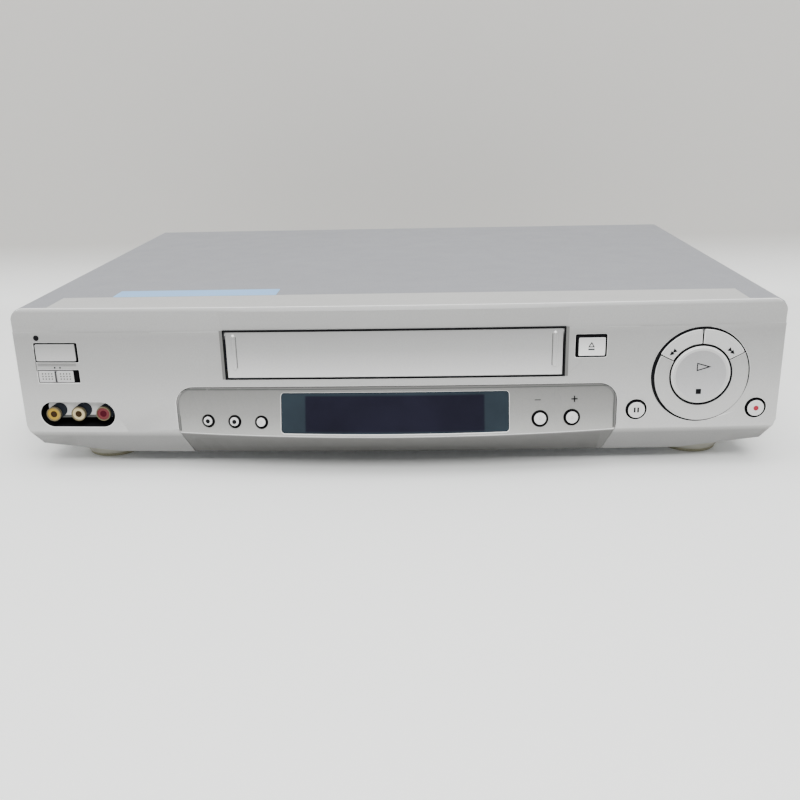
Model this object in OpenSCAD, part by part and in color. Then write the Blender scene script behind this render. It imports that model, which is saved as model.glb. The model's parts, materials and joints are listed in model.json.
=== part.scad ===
// Video cassette recorder: a bowed front, a cassette carriage, a helical scan deck and its boards.
// The origin lies on the ground under the middle of the body. X is right, Y is back, Z is up.

/* [Body] */
// Width of the case over its sides
body_w = 430; // [424:1:446]
// Depth of the case from the side ends of the front to the rear panel
body_d = 308; // [306:1:336]
// Height of the case above its feet
case_h = 89; // [88.5:0.5:100]
// How far the middle of the front bows out beyond its side ends
front_bow = 5; // [4:0.5:8]
// Wall of the moulded front
wall = 2.4; // [2.2:0.1:2.8]
// Radius of the upper corners of the front
corner_r = 6.5; // [5:0.5:9]
// Height of the fold under the front, above the underside
fold_h = 16.5; // [15:0.5:18]
// How far back the sloped strip under the fold runs
chamfer_d = 12; // [9:0.5:14]
// Height of the crease under the upper band, above the underside
crease_h = 75.7; // [74:0.1:77]
// Depth of the ledge on top of the front
ledge_d = 30; // [24:1:31]
// Half width of the ledge and of the raised field of the lid
field_hw = 195; // [190:1:200]

/* [Lid and chassis] */
// Sheet of the lid
lid_t = 1; // [0.8:0.1:1.2]
// How far the field of the lid stands above its sides
field_step = 1; // [0.6:0.1:1.4]
// Sheet of the chassis
pan_t = 1.2; // [0.8:0.1:1.5]
// Gap between neighbouring shells
seam = 0.3; // [0.2:0.05:0.4]
// Screws on the back of the lid
lid_screws = 3; // [2:1:5]
// How far the aerial sockets stand behind the rear panel
socket_l = 9; // [7:0.5:12]

/* [Feet] */
// Height of a foot with its pad
foot_h = 8; // [6:0.5:10]
// Diameter of a foot
foot_dia = 36; // [30:1:38]
// Thickness of the soft pad under a foot
pad_t = 2; // [1.5:0.5:3]
// Distance from the side of the case to the middle of a foot
foot_side = 38; // [36:1:46]
// Distance from the front to the front feet
foot_inset = 37.5; // [30:0.5:45]

/* [Cassette door] */
// Width of the door opening
slot_w = 190; // [189:0.5:191]
// Height of the door opening
slot_h = 28.5; // [28:0.5:29]
// Height of the middle of the opening above the underside
slot_mid = 62.3; // [62:0.1:62.6]
// Gap round the door
door_gap = 0.6; // [0.4:0.1:0.9]
// Thickness of the door
door_t = 2; // [1.6:0.1:2.2]
// Place of the two raised ribs, from the middle
rib_x = 89; // [84:0.5:90]

/* [Control panel] */
// Width of the panel, as a share of the case's width
panel_share = 0.579; // [0.56:0.001:0.59]
// Top of the panel above the underside
panel_h = 43.3; // [42.5:0.1:44.5]
// Radius of the panel's top corners
panel_r = 10; // [7:0.5:12]
// How far the panel's ridge swells out beyond the front
ridge_out = 9.5; // [7:0.5:11]
// How far the top of the panel is sunk
panel_sink = 0.8; // [0.5:0.1:1.2]
// Width of the display window, as a share of the panel's width
window_share = 0.5157; // [0.49:0.0001:0.52]
// Height of the display window
window_h = 22; // [20:0.5:23]
// Height of the middle of the window above the underside
window_mid = 29; // [28.5:0.25:30]
// Radius of the three small buttons
key_r = 3.1; // [2.6:0.1:3.3]
// Place of the first small button to the left, as a share of the panel's half width
key_share = 0.856; // [0.845:0.001:0.866]
// Pitch of the small buttons
key_pitch = 15.5; // [14:0.1:16]
// Height of the small buttons above the underside
key_h = 24; // [22.5:0.5:25]
// Radius of the two channel buttons
channel_r = 4; // [3.4:0.1:4.4]
// Place of the first channel button to the right, as a share of the panel's half width
channel_share = 0.654; // [0.64:0.001:0.665]
// Pitch of the channel buttons
channel_pitch = 18; // [15:0.5:20]
// Height of the channel buttons above the underside
channel_h = 24.5; // [23:0.5:26]

/* [Buttons] */
// Travel of a button
press = 0.8; // [0.5:0.1:1]
// How far a button stands out
proud = 0.7; // [0.3:0.1:1.2]
// Gap round a button
button_gap = 0.8; // [0.5:0.1:0.9]
// Place of the dial to the right, as a share of the case's half width
dial_share = 0.791; // [0.78:0.001:0.8]
// Height of the dial's centre above the underside
dial_h = 47.5; // [46:0.5:49]
// Radius of the round play and stop button
play_r = 16.4; // [15.5:0.1:17]
// Tilt of the play and stop button to each side
rock = 2.5; // [1.5:0.5:3]
// Radius of the dial's disc
disc_r = 26.2; // [25.5:0.1:26.4]
// Radius of the groove round the disc
groove_r = 27.3; // [26.8:0.1:28]
// Shift of the disc in its groove, which makes a crescent
disc_shift = [1, -0.8];
// Radius of the pause and record buttons
side_key_r = 5.2; // [4.6:0.1:5.6]
// Place of the pause button, as a share of the case's half width
pause_share = 0.631; // [0.625:0.001:0.637]
// Height of the pause button above the underside
pause_h = 27.7; // [26:0.1:29]
// Place of the record button, as a share of the case's half width
record_share = 0.942; // [0.935:0.001:0.946]
// Height of the record button above the underside
record_h = 27.3; // [26:0.1:29]
// Width and height of the eject button
eject_size = [15.8, 11.5];
// Distance from the door opening to the middle of the eject button
eject_off = 13.9; // [13.4:0.1:15]
// Height of the eject button above the underside
eject_h = 65.2; // [63:0.1:67]
// Width and height of the power button
power_size = [23.7, 9.8];
// Place of the power button to the left, as a share of the case's half width
power_share = 0.889; // [0.875:0.001:0.892]
// Height of the power button above the underside
power_h = 64.1; // [63:0.1:66]
// Width and height of the standby switch
standby_size = [20.4, 6.7];
// How far the standby switch at its left end stands to the left of the power button
standby_shift = 1.7; // [0.5:0.1:2.5]
// How far the standby switch lies below the power button
standby_drop = 14; // [13:0.1:16]
// Travel of the standby switch to the right
standby_travel = 3; // [2:0.5:3.5]
// How far the power indicator lies above the power button
lamp_rise = 8.6; // [8.4:0.1:9]

/* [Front jacks] */
// Place of the middle jack to the left, as a share of the case's half width
jack_share = 0.8526; // [0.85:0.0002:0.855]
// Height of the jacks above the underside
jack_h = 27.1; // [26:0.1:28]
// Pitch of the jacks
jack_pitch = 14.5; // [13.5:0.1:15]
// Outer radius of a jack's shell
jack_r = 4.15; // [4:0.05:4.3]
// Radius of the hole in a jack's core
jack_bore_r = 1.6; // [1.4:0.1:1.7]
// Depth of the pocket
pocket_d = 10; // [8:0.5:11]
// Radius of the pocket's round ends
pocket_r = 7.5; // [7:0.1:7.8]

/* [Cassette carriage] */
// Width of a cassette with its play
cassette_w = 188.5; // [188:0.25:189]
// Height of a cassette with its play
cassette_h = 25.6; // [25.2:0.2:26]
// Depth of the holder
holder_d = 110; // [104:1:112]
// Distance from the front to the holder
holder_f = 34; // [33:0.5:36]
// How far the carriage slides back
carriage_travel = 60; // [56:1:60]
// How far the holder drops
holder_drop = 20; // [18:0.5:21]
// Sheet of the holder and the slider
sheet_t = 1; // [0.8:0.1:1]
// Sheet of the brackets
bracket_t = 1.2; // [1:0.1:1.3]
// Teeth of the drive pinion
pinion_teeth = 20; // [18:1:21]
// Module of the rack and of the gears
gear_m = 1; // [0.95:0.05:1]
// Pressure angle of the gears
pressure = 25; // [25:1:26]
// Play between meshing teeth
backlash = 0.3; // [0.25:0.05:0.4]

/* [Deck] */
// Height of the deck plate above the underside
deck_h = 21; // [20.5:0.5:21.5]
// Thickness of the deck plate
deck_t = 1.6; // [1.4:0.1:1.8]
// Distance from the front to the reels
reel_f = 146; // [143:1:149]
// Distance between the reels
reel_span = 92; // [91:0.5:93]
// Radius of a reel's drive disc
reel_r = 20; // [18:0.5:22]
// Distance from the front to the drum
drum_f = 250; // [249:0.5:253]
// Radius of the drum
drum_r = 31; // [30.5:0.5:31.5]
// Lean of the drum
drum_tilt = 5; // [4:0.5:6]
// Teeth of the cam gear
cam_teeth = 36; // [34:1:36]
// Teeth of the loading motor's gear
motor_teeth = 12; // [12:1:13]
// How far the tape guides travel
guide_travel = 60; // [56:1:61]
// Running clearance of a shaft in its bore
running = 0.05; // [0.02:0.01:0.08]

/* [Boards] */
// Thickness of a circuit board
board_t = 1.6; // [1.2:0.2:2]
// Distance from the front to the front board
front_board_f = 16; // [15.5:0.5:17]
// Height of the main boards above the chassis
standoff_h = 6; // [4:0.5:8]
// Height of the transformer
transformer_h = 34; // [26:1:44]
// Width of the transformer
transformer_w = 42; // [34:1:44]
// Width, length and height of the heat sink
sink_size = [16, 38, 36];
// Height of the largest capacitor
capacitor_h = 30; // [22:1:40]
// Height of a chip
chip_h = 3; // [2:0.5:4]
// Width, length and height of the tuner can
tuner_size = [38, 74, 56];
// Distance between the aerial sockets
aerial_pitch = 26; // [20:1:28]
// How far the rear jacks stand behind the rear panel
rear_jack_l = 7.5; // [6:0.5:8.5]
// Radius of the largest capacitor
capacitor_r = 9; // [7:0.5:10]

/* [Hidden] */
$fn = 64;

// Overall places
half_w = body_w / 2;
base_z = foot_h;
top_z = base_z + case_h;
total_d = body_d + front_bow + ridge_out + socket_l;
front_y = -total_d / 2 + front_bow + ridge_out;
rear_y = front_y + body_d;
bow_r = (half_w * half_w + front_bow * front_bow) / (2 * front_bow);
bow_y = front_y - front_bow + bow_r;
bow_span = 2 * asin((half_w + 6) / bow_r);
lid_top = top_z - field_step;
pan_hw = half_w - lid_t - seam;
pan_top = base_z + pan_t;
deck_z = base_z + deck_h;
deck_top = deck_z + deck_t;
board_z = pan_top + standoff_h;
board_edge = half_w - 16;
holder_hw = cassette_w / 2 + sheet_t;
slider_in = holder_hw + 0.75;
slider_out = slider_in + sheet_t;
bracket_in = slider_out + 0.8;
bracket_out = bracket_in + bracket_t;
deck_hw = bracket_out + 6;
board_in = deck_hw + 6;
front_board_y = front_y + front_board_f;
bezel_d = front_board_f - seam;
slot_z = base_z + slot_mid;
panel_hw = panel_share * half_w;
window_w = 2 * window_share * panel_hw;
key_x = -key_share * panel_hw;
channel_x = channel_share * panel_hw;
dial_x = dial_share * half_w;
pause_x = pause_share * half_w;
record_x = record_share * half_w;
eject_x = slot_w / 2 + eject_off;
power_x = -power_share * half_w;
standby_x = power_x - standby_shift;
standby_h = power_h - standby_drop;
lamp_h = power_h + lamp_rise;
jack_x = -jack_share * half_w;
foot_span = 2 * (half_w - foot_side);
panel_top = base_z + panel_h;
ridge_z = base_z + fold_h;
lip_slope = 5.5;
switch_h = 1.5;
stem_gap = press + 0.15;

function face_y(x) = bow_y - sqrt(bow_r * bow_r - x * x);
function face_turn(x) = asin(x / bow_r);
function swell(x) = ridge_out * (1 - pow(x / panel_hw, 2));
function fall(z) = (panel_top - z) / (panel_top - ridge_z);
function panel_y(x, z) = face_y(x) + panel_sink * (1 - fall(z)) - swell(x) * fall(z);
function panel_turn(x, z) = atan(x / bow_r + 2 * ridge_out * x / (panel_hw * panel_hw) * fall(z));
function panel_tilt(x) = atan((swell(x) + panel_sink) / (panel_top - ridge_z));

// Solids between two places along one axis
module between_y(y0, y1) {
    translate([0, y1, 0]) rotate([90, 0, 0]) linear_extrude(y1 - y0) children();
}

module between_x(x0, x1) {
    translate([x0, 0, 0]) rotate([90, 0, 90]) linear_extrude(x1 - x0) children();
}

module block(x0, x1, y0, y1, z0, z1) {
    translate([x0, y0, z0]) cube([x1 - x0, y1 - y0, z1 - z0]);
}

module rod_x(r, x0, x1) {
    translate([x0, 0, 0]) rotate([0, 90, 0]) cylinder(r = r, h = x1 - x0);
}

module rod_y(r, y0, y1) {
    translate([0, y1, 0]) rotate([90, 0, 0]) cylinder(r = r, h = y1 - y0);
}

module tube(r_out, r_in, h) {
    difference() {
        cylinder(r = r_out, h = h);
        translate([0, 0, -1]) cylinder(r = r_in, h = h + 2);
    }
}

module round_rect(w, h, r) {
    square([w - 2 * r, h], center = true);
    square([w, h - 2 * r], center = true);
    for (x = [-1, 1], y = [-1, 1]) {
        translate([x * (w / 2 - r), y * (h / 2 - r)]) circle(r);
    }
}

module both_sides() {
    children();
    mirror([1, 0, 0]) children();
}

// A profile of [distance behind the face, height] points, turned about the axis of the bow
module bowed(profile) {
    translate([0, bow_y, 0]) rotate([0, 0, -90 - bow_span / 2])
        rotate_extrude(angle = bow_span, $fn = 720)
            polygon([for (p = profile) [bow_r - p[0], p[1]]]);
}

module on_face(x, z) {
    translate([x, face_y(x), z]) rotate([0, 0, face_turn(x)]) children();
}

module on_panel(x, z) {
    translate([x, panel_y(x, z), z]) rotate([-panel_tilt(x), 0, panel_turn(x, z)]) children();
}

// Front ------------------------------------------------------------------------------------------
rim_d = 4;
corner_rise = 7;
side_low_z = base_z + 20;
bottom_hw = half_w - 50;
chamfer_hw = half_w - 6;

module front_outline(inset = 0) {
    w = half_w - inset;
    r = corner_r - inset;
    translate([-w, side_low_z]) square([2 * w, top_z - corner_r - side_low_z]);
    translate([-w + r, side_low_z]) square([2 * (w - r), top_z - inset - side_low_z]);
    for (x = [-1, 1]) {
        translate([x * (w - r), top_z - corner_r]) circle(r);
    }
    polygon([
        [-w, side_low_z + 0.01], [-chamfer_hw + inset, base_z + corner_rise + inset / 2],
        [-bottom_hw, base_z + inset], [bottom_hw, base_z + inset],
        [chamfer_hw - inset, base_z + corner_rise + inset / 2], [w, side_low_z + 0.01]
    ]);
}

module bezel_shell() {
    crease_z = base_z + crease_h;
    edge = 2.2;
    back = 46;
    difference() {
        intersection() {
            bowed([
                [0, ridge_z], [0, crease_z], [0.5, crease_z + 0.3], [0.9, top_z - edge],
                [edge + 0.9, top_z], [back, top_z], [back, base_z], [chamfer_d, base_z]
            ]);
            between_y(front_y - 20, front_y + ledge_d) front_outline();
        }
        intersection() {
            bowed([
                [wall, ridge_z + 0.6], [wall, crease_z], [wall + 0.9, top_z - edge - 1],
                [edge + wall, top_z - wall], [back, top_z - wall], [back, base_z + wall],
                [chamfer_d + 1, base_z + wall]
            ]);
            between_y(front_y - 20, front_y + ledge_d + 1) front_outline(wall);
        }
    }
}

// The parts of the shell that run back: a short rim all round, the ledge, and the lower lip
module bezel_reach() {
    block(-half_w, half_w, front_y - 20, front_y + rim_d, base_z, top_z);
    block(-field_hw, field_hw, front_y, front_y + ledge_d, top_z - wall - 1, top_z);
    block(-half_w, half_w, front_y, front_y + bezel_d, base_z, side_low_z);
}

module panel_outline(gap = 0) {
    w = panel_hw + gap;
    r = panel_r + gap;
    top = panel_top + gap;
    low = base_z - gap - 1;
    waist = ridge_z + 2;
    translate([-w, waist]) square([2 * w, top - r - waist]);
    translate([-w + r, waist]) square([2 * (w - r), top - waist]);
    for (x = [-1, 1]) {
        translate([x * (w - r), top - r]) circle(r);
    }
    polygon([[-w + lip_slope, low], [w - lip_slope, low], [w, waist], [-w, waist]]);
}

module eject_hole() {
    translate([eject_x, base_z + eject_h])
        round_rect(eject_size[0] + 2 * button_gap, eject_size[1] + 2 * button_gap, 1);
}

module power_hole() {
    translate([power_x, base_z + power_h])
        round_rect(power_size[0] + 2 * button_gap, power_size[1] + 2 * button_gap, 0.8);
}

module standby_hole() {
    translate([standby_x + standby_travel / 2, base_z + standby_h])
        round_rect(standby_size[0] + standby_travel + 1, standby_size[1] + 1, 0.5);
}

module wedge(a0, a1) {
    reach = 60;
    polygon([
        [0, 0], reach * [cos(a0), sin(a0)], reach * [cos((a0 + a1) / 2), sin((a0 + a1) / 2)],
        reach * [cos(a1), sin(a1)]
    ]);
}

// One segment of the dial between two angles, inset all round
module segment(a0, a1, inset, outer = 0) {
    intersection() {
        difference() {
            translate(disc_shift) circle(disc_r - inset + outer);
            circle(play_r + button_gap + inset);
        }
        translate(inset / sin((a1 - a0) / 2) * [cos((a0 + a1) / 2), sin((a0 + a1) / 2)])
            wedge(a0, a1);
    }
}

segment_from = 27;
segment_to = 153;

module dial_cuts() {
    on_face(dial_x, base_z + dial_h) {
        between_y(-3, wall + 3) circle(play_r + button_gap);
        between_y(-3, wall + 3) segment(segment_from, segment_to, 0);
        between_y(-3, 1) difference() {
            circle(groove_r);
            translate(disc_shift) circle(disc_r);
        }
    }
}

module pocket_outline(grow = 0) {
    translate([jack_x, base_z + jack_h])
        round_rect(2 * (jack_pitch + pocket_r + grow), 2 * (pocket_r + grow),
                   pocket_r + grow - 0.01);
}

module door_ears() {
    both_sides() {
        difference() {
            block(slot_w / 2, slot_w / 2 + 4, front_y - 4, hinge_y + 3.5, hinge_z - 4, hinge_z + 3.5);
            translate([0, hinge_y, hinge_z]) rod_x(hinge_r + running, 0, half_w);
        }
    }
}

hinge_y = face_y(0) + wall + 0.4;
door_top = slot_z + slot_h / 2 - door_gap;
hinge_z = door_top - 1.8;
hinge_r = 1;
post_places = [[-0.6, 54], [0.6, 40], [-0.7, 66], [0.71, 20]];

module front_bezel() {
    color("silver") {
        difference() {
            union() {
                intersection() {
                    bezel_shell();
                    bezel_reach();
                }
                intersection() {
                    bowed([[0.5, base_z], [0.5, top_z], [40, top_z], [40, base_z]]);
                    between_y(front_y - 10, front_y + pocket_d + wall) pocket_outline(wall);
                }
                intersection() {
                    bowed([[wall / 2, base_z], [wall / 2, hinge_z + 4], [40, hinge_z + 4], [40, base_z]]);
                    door_ears();
                }
                for (p = post_places) {
                    translate([p[0] * half_w, 0, base_z + p[1]])
                        rod_y(3, face_y(p[0] * half_w) + wall / 2, front_board_y);
                }
            }
            between_y(front_y - 20, front_y + 40) panel_outline(seam);
            between_y(front_y - 20, front_y + 8)
                translate([0, slot_z]) round_rect(slot_w, slot_h, 0.8);
            between_y(front_y - 20, front_y + 8) eject_hole();
            between_y(front_y - 20, front_y + 8) power_hole();
            between_y(front_y - 20, front_y + 8) standby_hole();
            dial_cuts();
            for (k = [[pause_x, pause_h], [record_x, record_h]]) {
                on_face(k[0], base_z + k[1]) rod_y(side_key_r + button_gap, -3, 6);
            }
            on_face(power_x - power_size[0] / 2 + 1.6, base_z + lamp_h) rod_y(1.25, -3, 6);
            between_y(front_y - 20, front_y + pocket_d) pocket_outline();
            for (i = [-1:1]) {
                translate([jack_x + i * jack_pitch, 0, base_z + jack_h])
                    rod_y(jack_r + 0.6, front_y, front_y + 40);
            }
            both_sides() translate([0, hinge_y, hinge_z])
                rod_x(hinge_r + running, slot_w / 2 - 1, slot_w / 2 + 5);
        }
    }
}

// Centre panel: a ruled form from a level top line down to the swelling ridge, then back under
ruled_steps = 28;

module ruled_form(push, deep) {
    spread = 1.01 * panel_hw;
    xs = [for (i = [0:ruled_steps]) spread * (2 * i / ruled_steps - 1)];
    n = len(xs);
    rise = panel_top + 3;
    sink = base_z - 1;
    slope = chamfer_d / fold_h;
    front_top = [for (x = xs) [x, panel_y(x, rise) + push, rise]];
    ridge = [for (x = xs) [x, panel_y(x, ridge_z) + push, ridge_z]];
    under = [for (x = xs) [x, face_y(x) + slope * (ridge_z - sink) + push, sink]];
    back_low = [for (x = xs) [x, deep, sink]];
    back_top = [for (x = xs) [x, deep, rise]];
    rings = [front_top, ridge, under, back_low, back_top];
    points = [for (r = rings) each r];
    skin = [for (k = [0:4], i = [0:n - 2])
        let (a = k * n + i, b = ((k + 1) % 5) * n + i) each [[a, b + 1, b], [a, a + 1, b + 1]]];
    left = [for (k = [0:4]) k * n];
    right = [for (k = [4:-1:0]) k * n + n - 1];
    polyhedron(points, concat(skin, [left], [right]));
}

module panel_keys(r_extra) {
    for (i = [0:2]) {
        x = key_x + i * key_pitch;
        on_panel(x, base_z + key_h) rod_y(key_r + r_extra, -4, 8);
    }
    for (i = [0:1]) {
        x = channel_x + i * channel_pitch;
        on_panel(x, base_z + channel_h) rod_y(channel_r + r_extra, -4, 8);
    }
}

module control_panel() {
    panel_wall = 2.2;
    back = front_y + bezel_d;
    reach = 60;
    color([0.64, 0.63, 0.60]) difference() {
        intersection() {
            ruled_form(0, back + 1);
            between_y(front_y - reach, back) panel_outline();
            union() {
                block(-half_w, half_w, front_y - reach, front_y + 3, ridge_z - 3, top_z);
                block(-half_w, half_w, front_y - reach, back + 1, base_z, ridge_z - 3);
            }
        }
        intersection() {
            ruled_form(panel_wall, back + 2);
            block(-half_w, half_w, front_y - reach, back + reach, base_z + panel_wall, top_z);
        }
        window_cut(0);
        panel_keys(button_gap);
    }
}

module window_cut(inset) {
    between_y(front_y - 40, front_y + 30) translate([0, base_z + window_mid])
        round_rect(window_w - 2 * inset, window_h - 2 * inset, 2 - inset);
}

module display_window() {
    color([0.14, 0.15, 0.2]) intersection() {
        difference() {
            ruled_form(0.5, front_y + bezel_d);
            ruled_form(2, front_y + bezel_d + 1);
        }
        window_cut(0.1);
    }
}

// Cassette door: a bowed plate with two ribs, on pins at its upper ends
module tape_door() {
    w = slot_w / 2 - 2 * door_gap - 0.4;
    low = slot_z - slot_h / 2 + door_gap;
    color([0.7, 0.7, 0.69]) {
        intersection() {
            bowed([
                [0.7, base_z], [0.7, top_z], [0.7 + door_t, top_z], [0.7 + door_t, base_z]
            ]);
            between_y(front_y - 20, front_y + 8) translate([0, (door_top + low) / 2])
                round_rect(2 * w, door_top - low, 0.5);
        }
        for (x = [-1, 1]) {
            intersection() {
                bowed([[0, base_z], [0, top_z], [1.2, top_z], [1.2, base_z]]);
                between_y(front_y - 20, front_y + 8) translate([x * rib_x, slot_z + 1.5])
                    round_rect(2.4, 20, 1.19);
            }
        }
        both_sides() {
            translate([0, hinge_y, hinge_z]) {
                rod_x(hinge_r, w - 3, slot_w / 2 + 3);
                rod_x(hinge_r + 0.8, w - 6, w);
            }
        }
    }
}

// Buttons ----------------------------------------------------------------------------------------
// A stem from a cap's back towards its switch on the front board
module stem(x, z, from_y) {
    translate([x, 0, z]) rod_y(1.8, from_y, front_board_y - switch_h - stem_gap);
}

module round_button(x, z, r) {
    on_face(x, z) {
        rod_y(r - 0.4, -proud, 0);
        rod_y(r, -proud + 0.4, wall + 1.4);
        rod_y(r + button_gap + 0.8, wall + 0.4, wall + 1.4);
    }
    stem(x, z, face_y(x) + wall + 1);
}

module rect_button(x, z, size) {
    flange = 2 * button_gap + 1.4;
    on_face(x, z) {
        between_y(-proud, 0) round_rect(size[0] - 0.9, size[1] - 0.9, 0.5);
        between_y(-proud + 0.4, wall + 1.4) round_rect(size[0], size[1], 0.6);
        between_y(wall + 0.5, wall + 1.4) round_rect(size[0] + flange, size[1] + flange, 0.6);
    }
    stem(x, z, face_y(x) + wall + 1);
}

module panel_button(x, z, r) {
    lean = panel_tilt(x);
    on_panel(x, z) {
        rod_y(r - 0.4, -proud, 0);
        rod_y(r, -proud + 0.4, wall + 1.6);
    }
    translate([x, 0, z])
        rod_y(r - 0.6, panel_y(x, z) + wall + r * sin(lean), front_board_y - switch_h - stem_gap);
}

module power_button() {
    color([0.74, 0.74, 0.73]) rect_button(power_x, base_z + power_h, power_size);
}

module eject_button() {
    color([0.72, 0.72, 0.72]) rect_button(eject_x, base_z + eject_h, eject_size);
}

module pause_button() {
    color([0.72, 0.72, 0.72]) round_button(pause_x, base_z + pause_h, side_key_r);
}

module record_button() {
    color([0.72, 0.72, 0.72]) round_button(record_x, base_z + record_h, side_key_r);
}

module key_at(i) {
    color([0.66, 0.65, 0.62]) panel_button(key_x + i * key_pitch, base_z + key_h, key_r);
}

module channel_at(i) {
    color([0.66, 0.65, 0.62])
        panel_button(channel_x + i * channel_pitch, base_z + channel_h, channel_r);
}

// One segment button: its cap, a catch behind the wall and a stem
module segment_button(a0, a1) {
    mid = (a0 + a1) / 2;
    x = dial_x + segment_reach * cos(mid);
    color([0.72, 0.72, 0.72]) {
        on_face(dial_x, base_z + dial_h) {
            between_y(-0.3, 0.1) segment(a0, a1, 0.7);
            between_y(0, wall + 1.5) segment(a0, a1, 0.4);
            between_y(wall + 0.5, wall + 1.5) segment(a0, a1, 0.4, 1.4);
        }
        stem(x, base_z + dial_h + segment_reach * sin(mid), face_y(x) + wall + 1);
    }
}

module rewind_button() {
    segment_button(90, segment_to);
}

module fast_forward_button() {
    segment_button(segment_from, 90);
}

// Round rocker: a dished disc on a pivot post, with two toes over its switches
pivot_back = 4.4;
pivot_r = 1.5;
pivot_post_r = 4;
pivot_gap = pivot_post_r * sin(rock) + 0.15;
toe_reach = 9;
toe_gap = toe_reach * sin(rock) + 0.35;

module play_stop_button() {
    dish_r = play_r - 2.5;
    sphere_r = 120;
    z = base_z + dial_h;
    color([0.73, 0.73, 0.73]) {
        on_face(dial_x, z) {
            difference() {
                union() {
                    rod_y(play_r, -0.7, wall);
                    rod_y(play_r - 0.6, -1.2, 0);
                }
                translate([0, -1.2 - sqrt(sphere_r * sphere_r - dish_r * dish_r), 0])
                    sphere(sphere_r, $fn = 200);
            }
            rod_y(pivot_post_r, wall - 0.2, pivot_back);
        }
        translate([dial_x, face_y(dial_x) + pivot_back, z]) rod_x(pivot_r, -3, 3);
        for (s = [-1, 1]) {
            translate([dial_x, 0, z + s * toe_reach])
                rod_y(1.6, face_y(dial_x) + wall - 1, front_board_y - switch_h - toe_gap);
        }
    }
}

// Two position slide switch with a ridge in its middle
module standby_switch() {
    z = base_z + standby_h;
    color([0.7, 0.7, 0.69]) {
        on_face(standby_x, z) {
            between_y(0.2, wall + 1.2) round_rect(standby_size[0], standby_size[1], 0.4);
            between_y(-0.5, 0.5) square([1.2, standby_size[1] - 1], center = true);
            between_y(wall + 0.4, wall + 1.4)
                round_rect(standby_size[0] + 3, standby_size[1] + 3, 0.4);
        }
        translate([standby_x, 0, z])
            rod_y(1.8, face_y(standby_x) + wall + 1, front_board_y - switch_h - seam);
    }
}

module power_indicator() {
    x = power_x - power_size[0] / 2 + 1.6;
    color([0.08, 0.08, 0.08]) {
        on_face(x, base_z + lamp_h) {
            rod_y(1.2, -0.1, wall + 1);
        }
        translate([x, 0, base_z + lamp_h])
            rod_y(1.8, face_y(x) + wall + 0.3, front_board_y);
    }
}

// Front jacks ------------------------------------------------------------------------------------
module at_jack(i) {
    translate([jack_x + i * jack_pitch, 0, base_z + jack_h]) children();
}

module jack_barrels() {
    color([0.1, 0.1, 0.1]) for (i = [-1:1]) {
        at_jack(i) difference() {
            rod_y(jack_r + 0.45, front_y + pocket_d + 0.6, front_board_y);
            rod_y(jack_r + 0.02, front_y, front_y + pocket_d + 3);
        }
    }
}

module jack_shells() {
    color([0.75, 0.74, 0.7]) for (i = [-1:1]) {
        at_jack(i) difference() {
            rod_y(jack_r, face_y(jack_x) + 0.8, front_y + pocket_d + 3);
            rod_y(jack_r - 0.5, front_y - 10, front_y + pocket_d + 4);
        }
    }
}

module jack_insulator(i) {
    at_jack(i) difference() {
        rod_y(jack_r - 0.52, face_y(jack_x) + 1.3, front_y + pocket_d + 3);
        rod_y(jack_bore_r, front_y - 10, front_y + pocket_d);
    }
}

module jack_insulator_yellow() {
    color([0.85, 0.66, 0.1]) jack_insulator(-1);
}

module jack_insulator_white() {
    color([0.9, 0.9, 0.86]) jack_insulator(0);
}

module jack_insulator_red() {
    color([0.7, 0.12, 0.1]) jack_insulator(1);
}

// Lid, chassis and feet --------------------------------------------------------------------------
module lid_profile(hw, top, r, low = side_low_z) {
    translate([-hw, low]) square([2 * hw, top - r - low]);
    translate([-hw + r, low]) square([2 * (hw - r), top - low]);
    for (x = [-1, 1]) {
        translate([x * (hw - r), top - r]) circle(r);
    }
}

module field_profile(hw, top) {
    polygon([
        [-hw - field_step, top - field_step], [-hw, top], [hw, top],
        [hw + field_step, top - field_step], [hw, top - 3 * field_step], [-hw, top - 3 * field_step]
    ]);
}

field_end = 10;
lip_h = 10;
screw_h = case_h - lip_h / 2;
screw_r = 1.5;
screw_step = 2 * (half_w - 30) / max(lid_screws - 1, 1);
screw_places = [for (i = [0:lid_screws - 1]) -half_w + 30 + i * screw_step];

module lid_solid(t, low = side_low_z) {
    y0 = front_y + rim_d + seam;
    r = 3;
    between_y(y0, rear_y) lid_profile(half_w - t, lid_top - t, r - t / 2, low);
    between_y(front_y + ledge_d - 1, rear_y - field_end - 1.5 * t)
        field_profile(field_hw, top_z - t);
}

module top_cover() {
    color([0.68, 0.69, 0.71]) difference() {
        union() {
            lid_solid(0);
            between_y(rear_y, rear_y + lid_t) intersection() {
                lid_profile(half_w, lid_top, 3);
                translate([-half_w, lid_top - lip_h]) square([body_w, lip_h + 1]);
            }
        }
        difference() {
            lid_solid(lid_t, base_z);
            block(-half_w, half_w, rear_y, rear_y + 5, 0, top_z);
        }
        block(-field_hw - field_step - seam, field_hw + field_step + seam, front_y - 5,
              front_y + ledge_d + seam, base_z, top_z + 1);
        for (x = screw_places) {
            translate([x, 0, base_z + screw_h]) rod_y(screw_r + 0.2, rear_y - 5, rear_y + 5);
        }
    }
}

module cover_screws() {
    color([0.5, 0.5, 0.52]) for (x = screw_places) {
        translate([x, 0, base_z + screw_h]) difference() {
            union() {
                rod_y(screw_r, rear_y - 6, rear_y + lid_t + 0.5);
                rod_y(3, rear_y + lid_t, rear_y + lid_t + 1.8);
            }
            for (turn = [0, 90]) {
                rotate([0, turn, 0])
                    block(-2, 2, rear_y + lid_t + 0.8, rear_y + lid_t + 3, -0.4, 0.4);
            }
        }
    }
}

deck_posts = [[-1, 44], [1, 44], [-1, body_d - 26], [1, body_d - 26]];
vent_rows = 2;
vent_count = 9;
vent_pitch = 8;

vent_l = 36;

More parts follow.
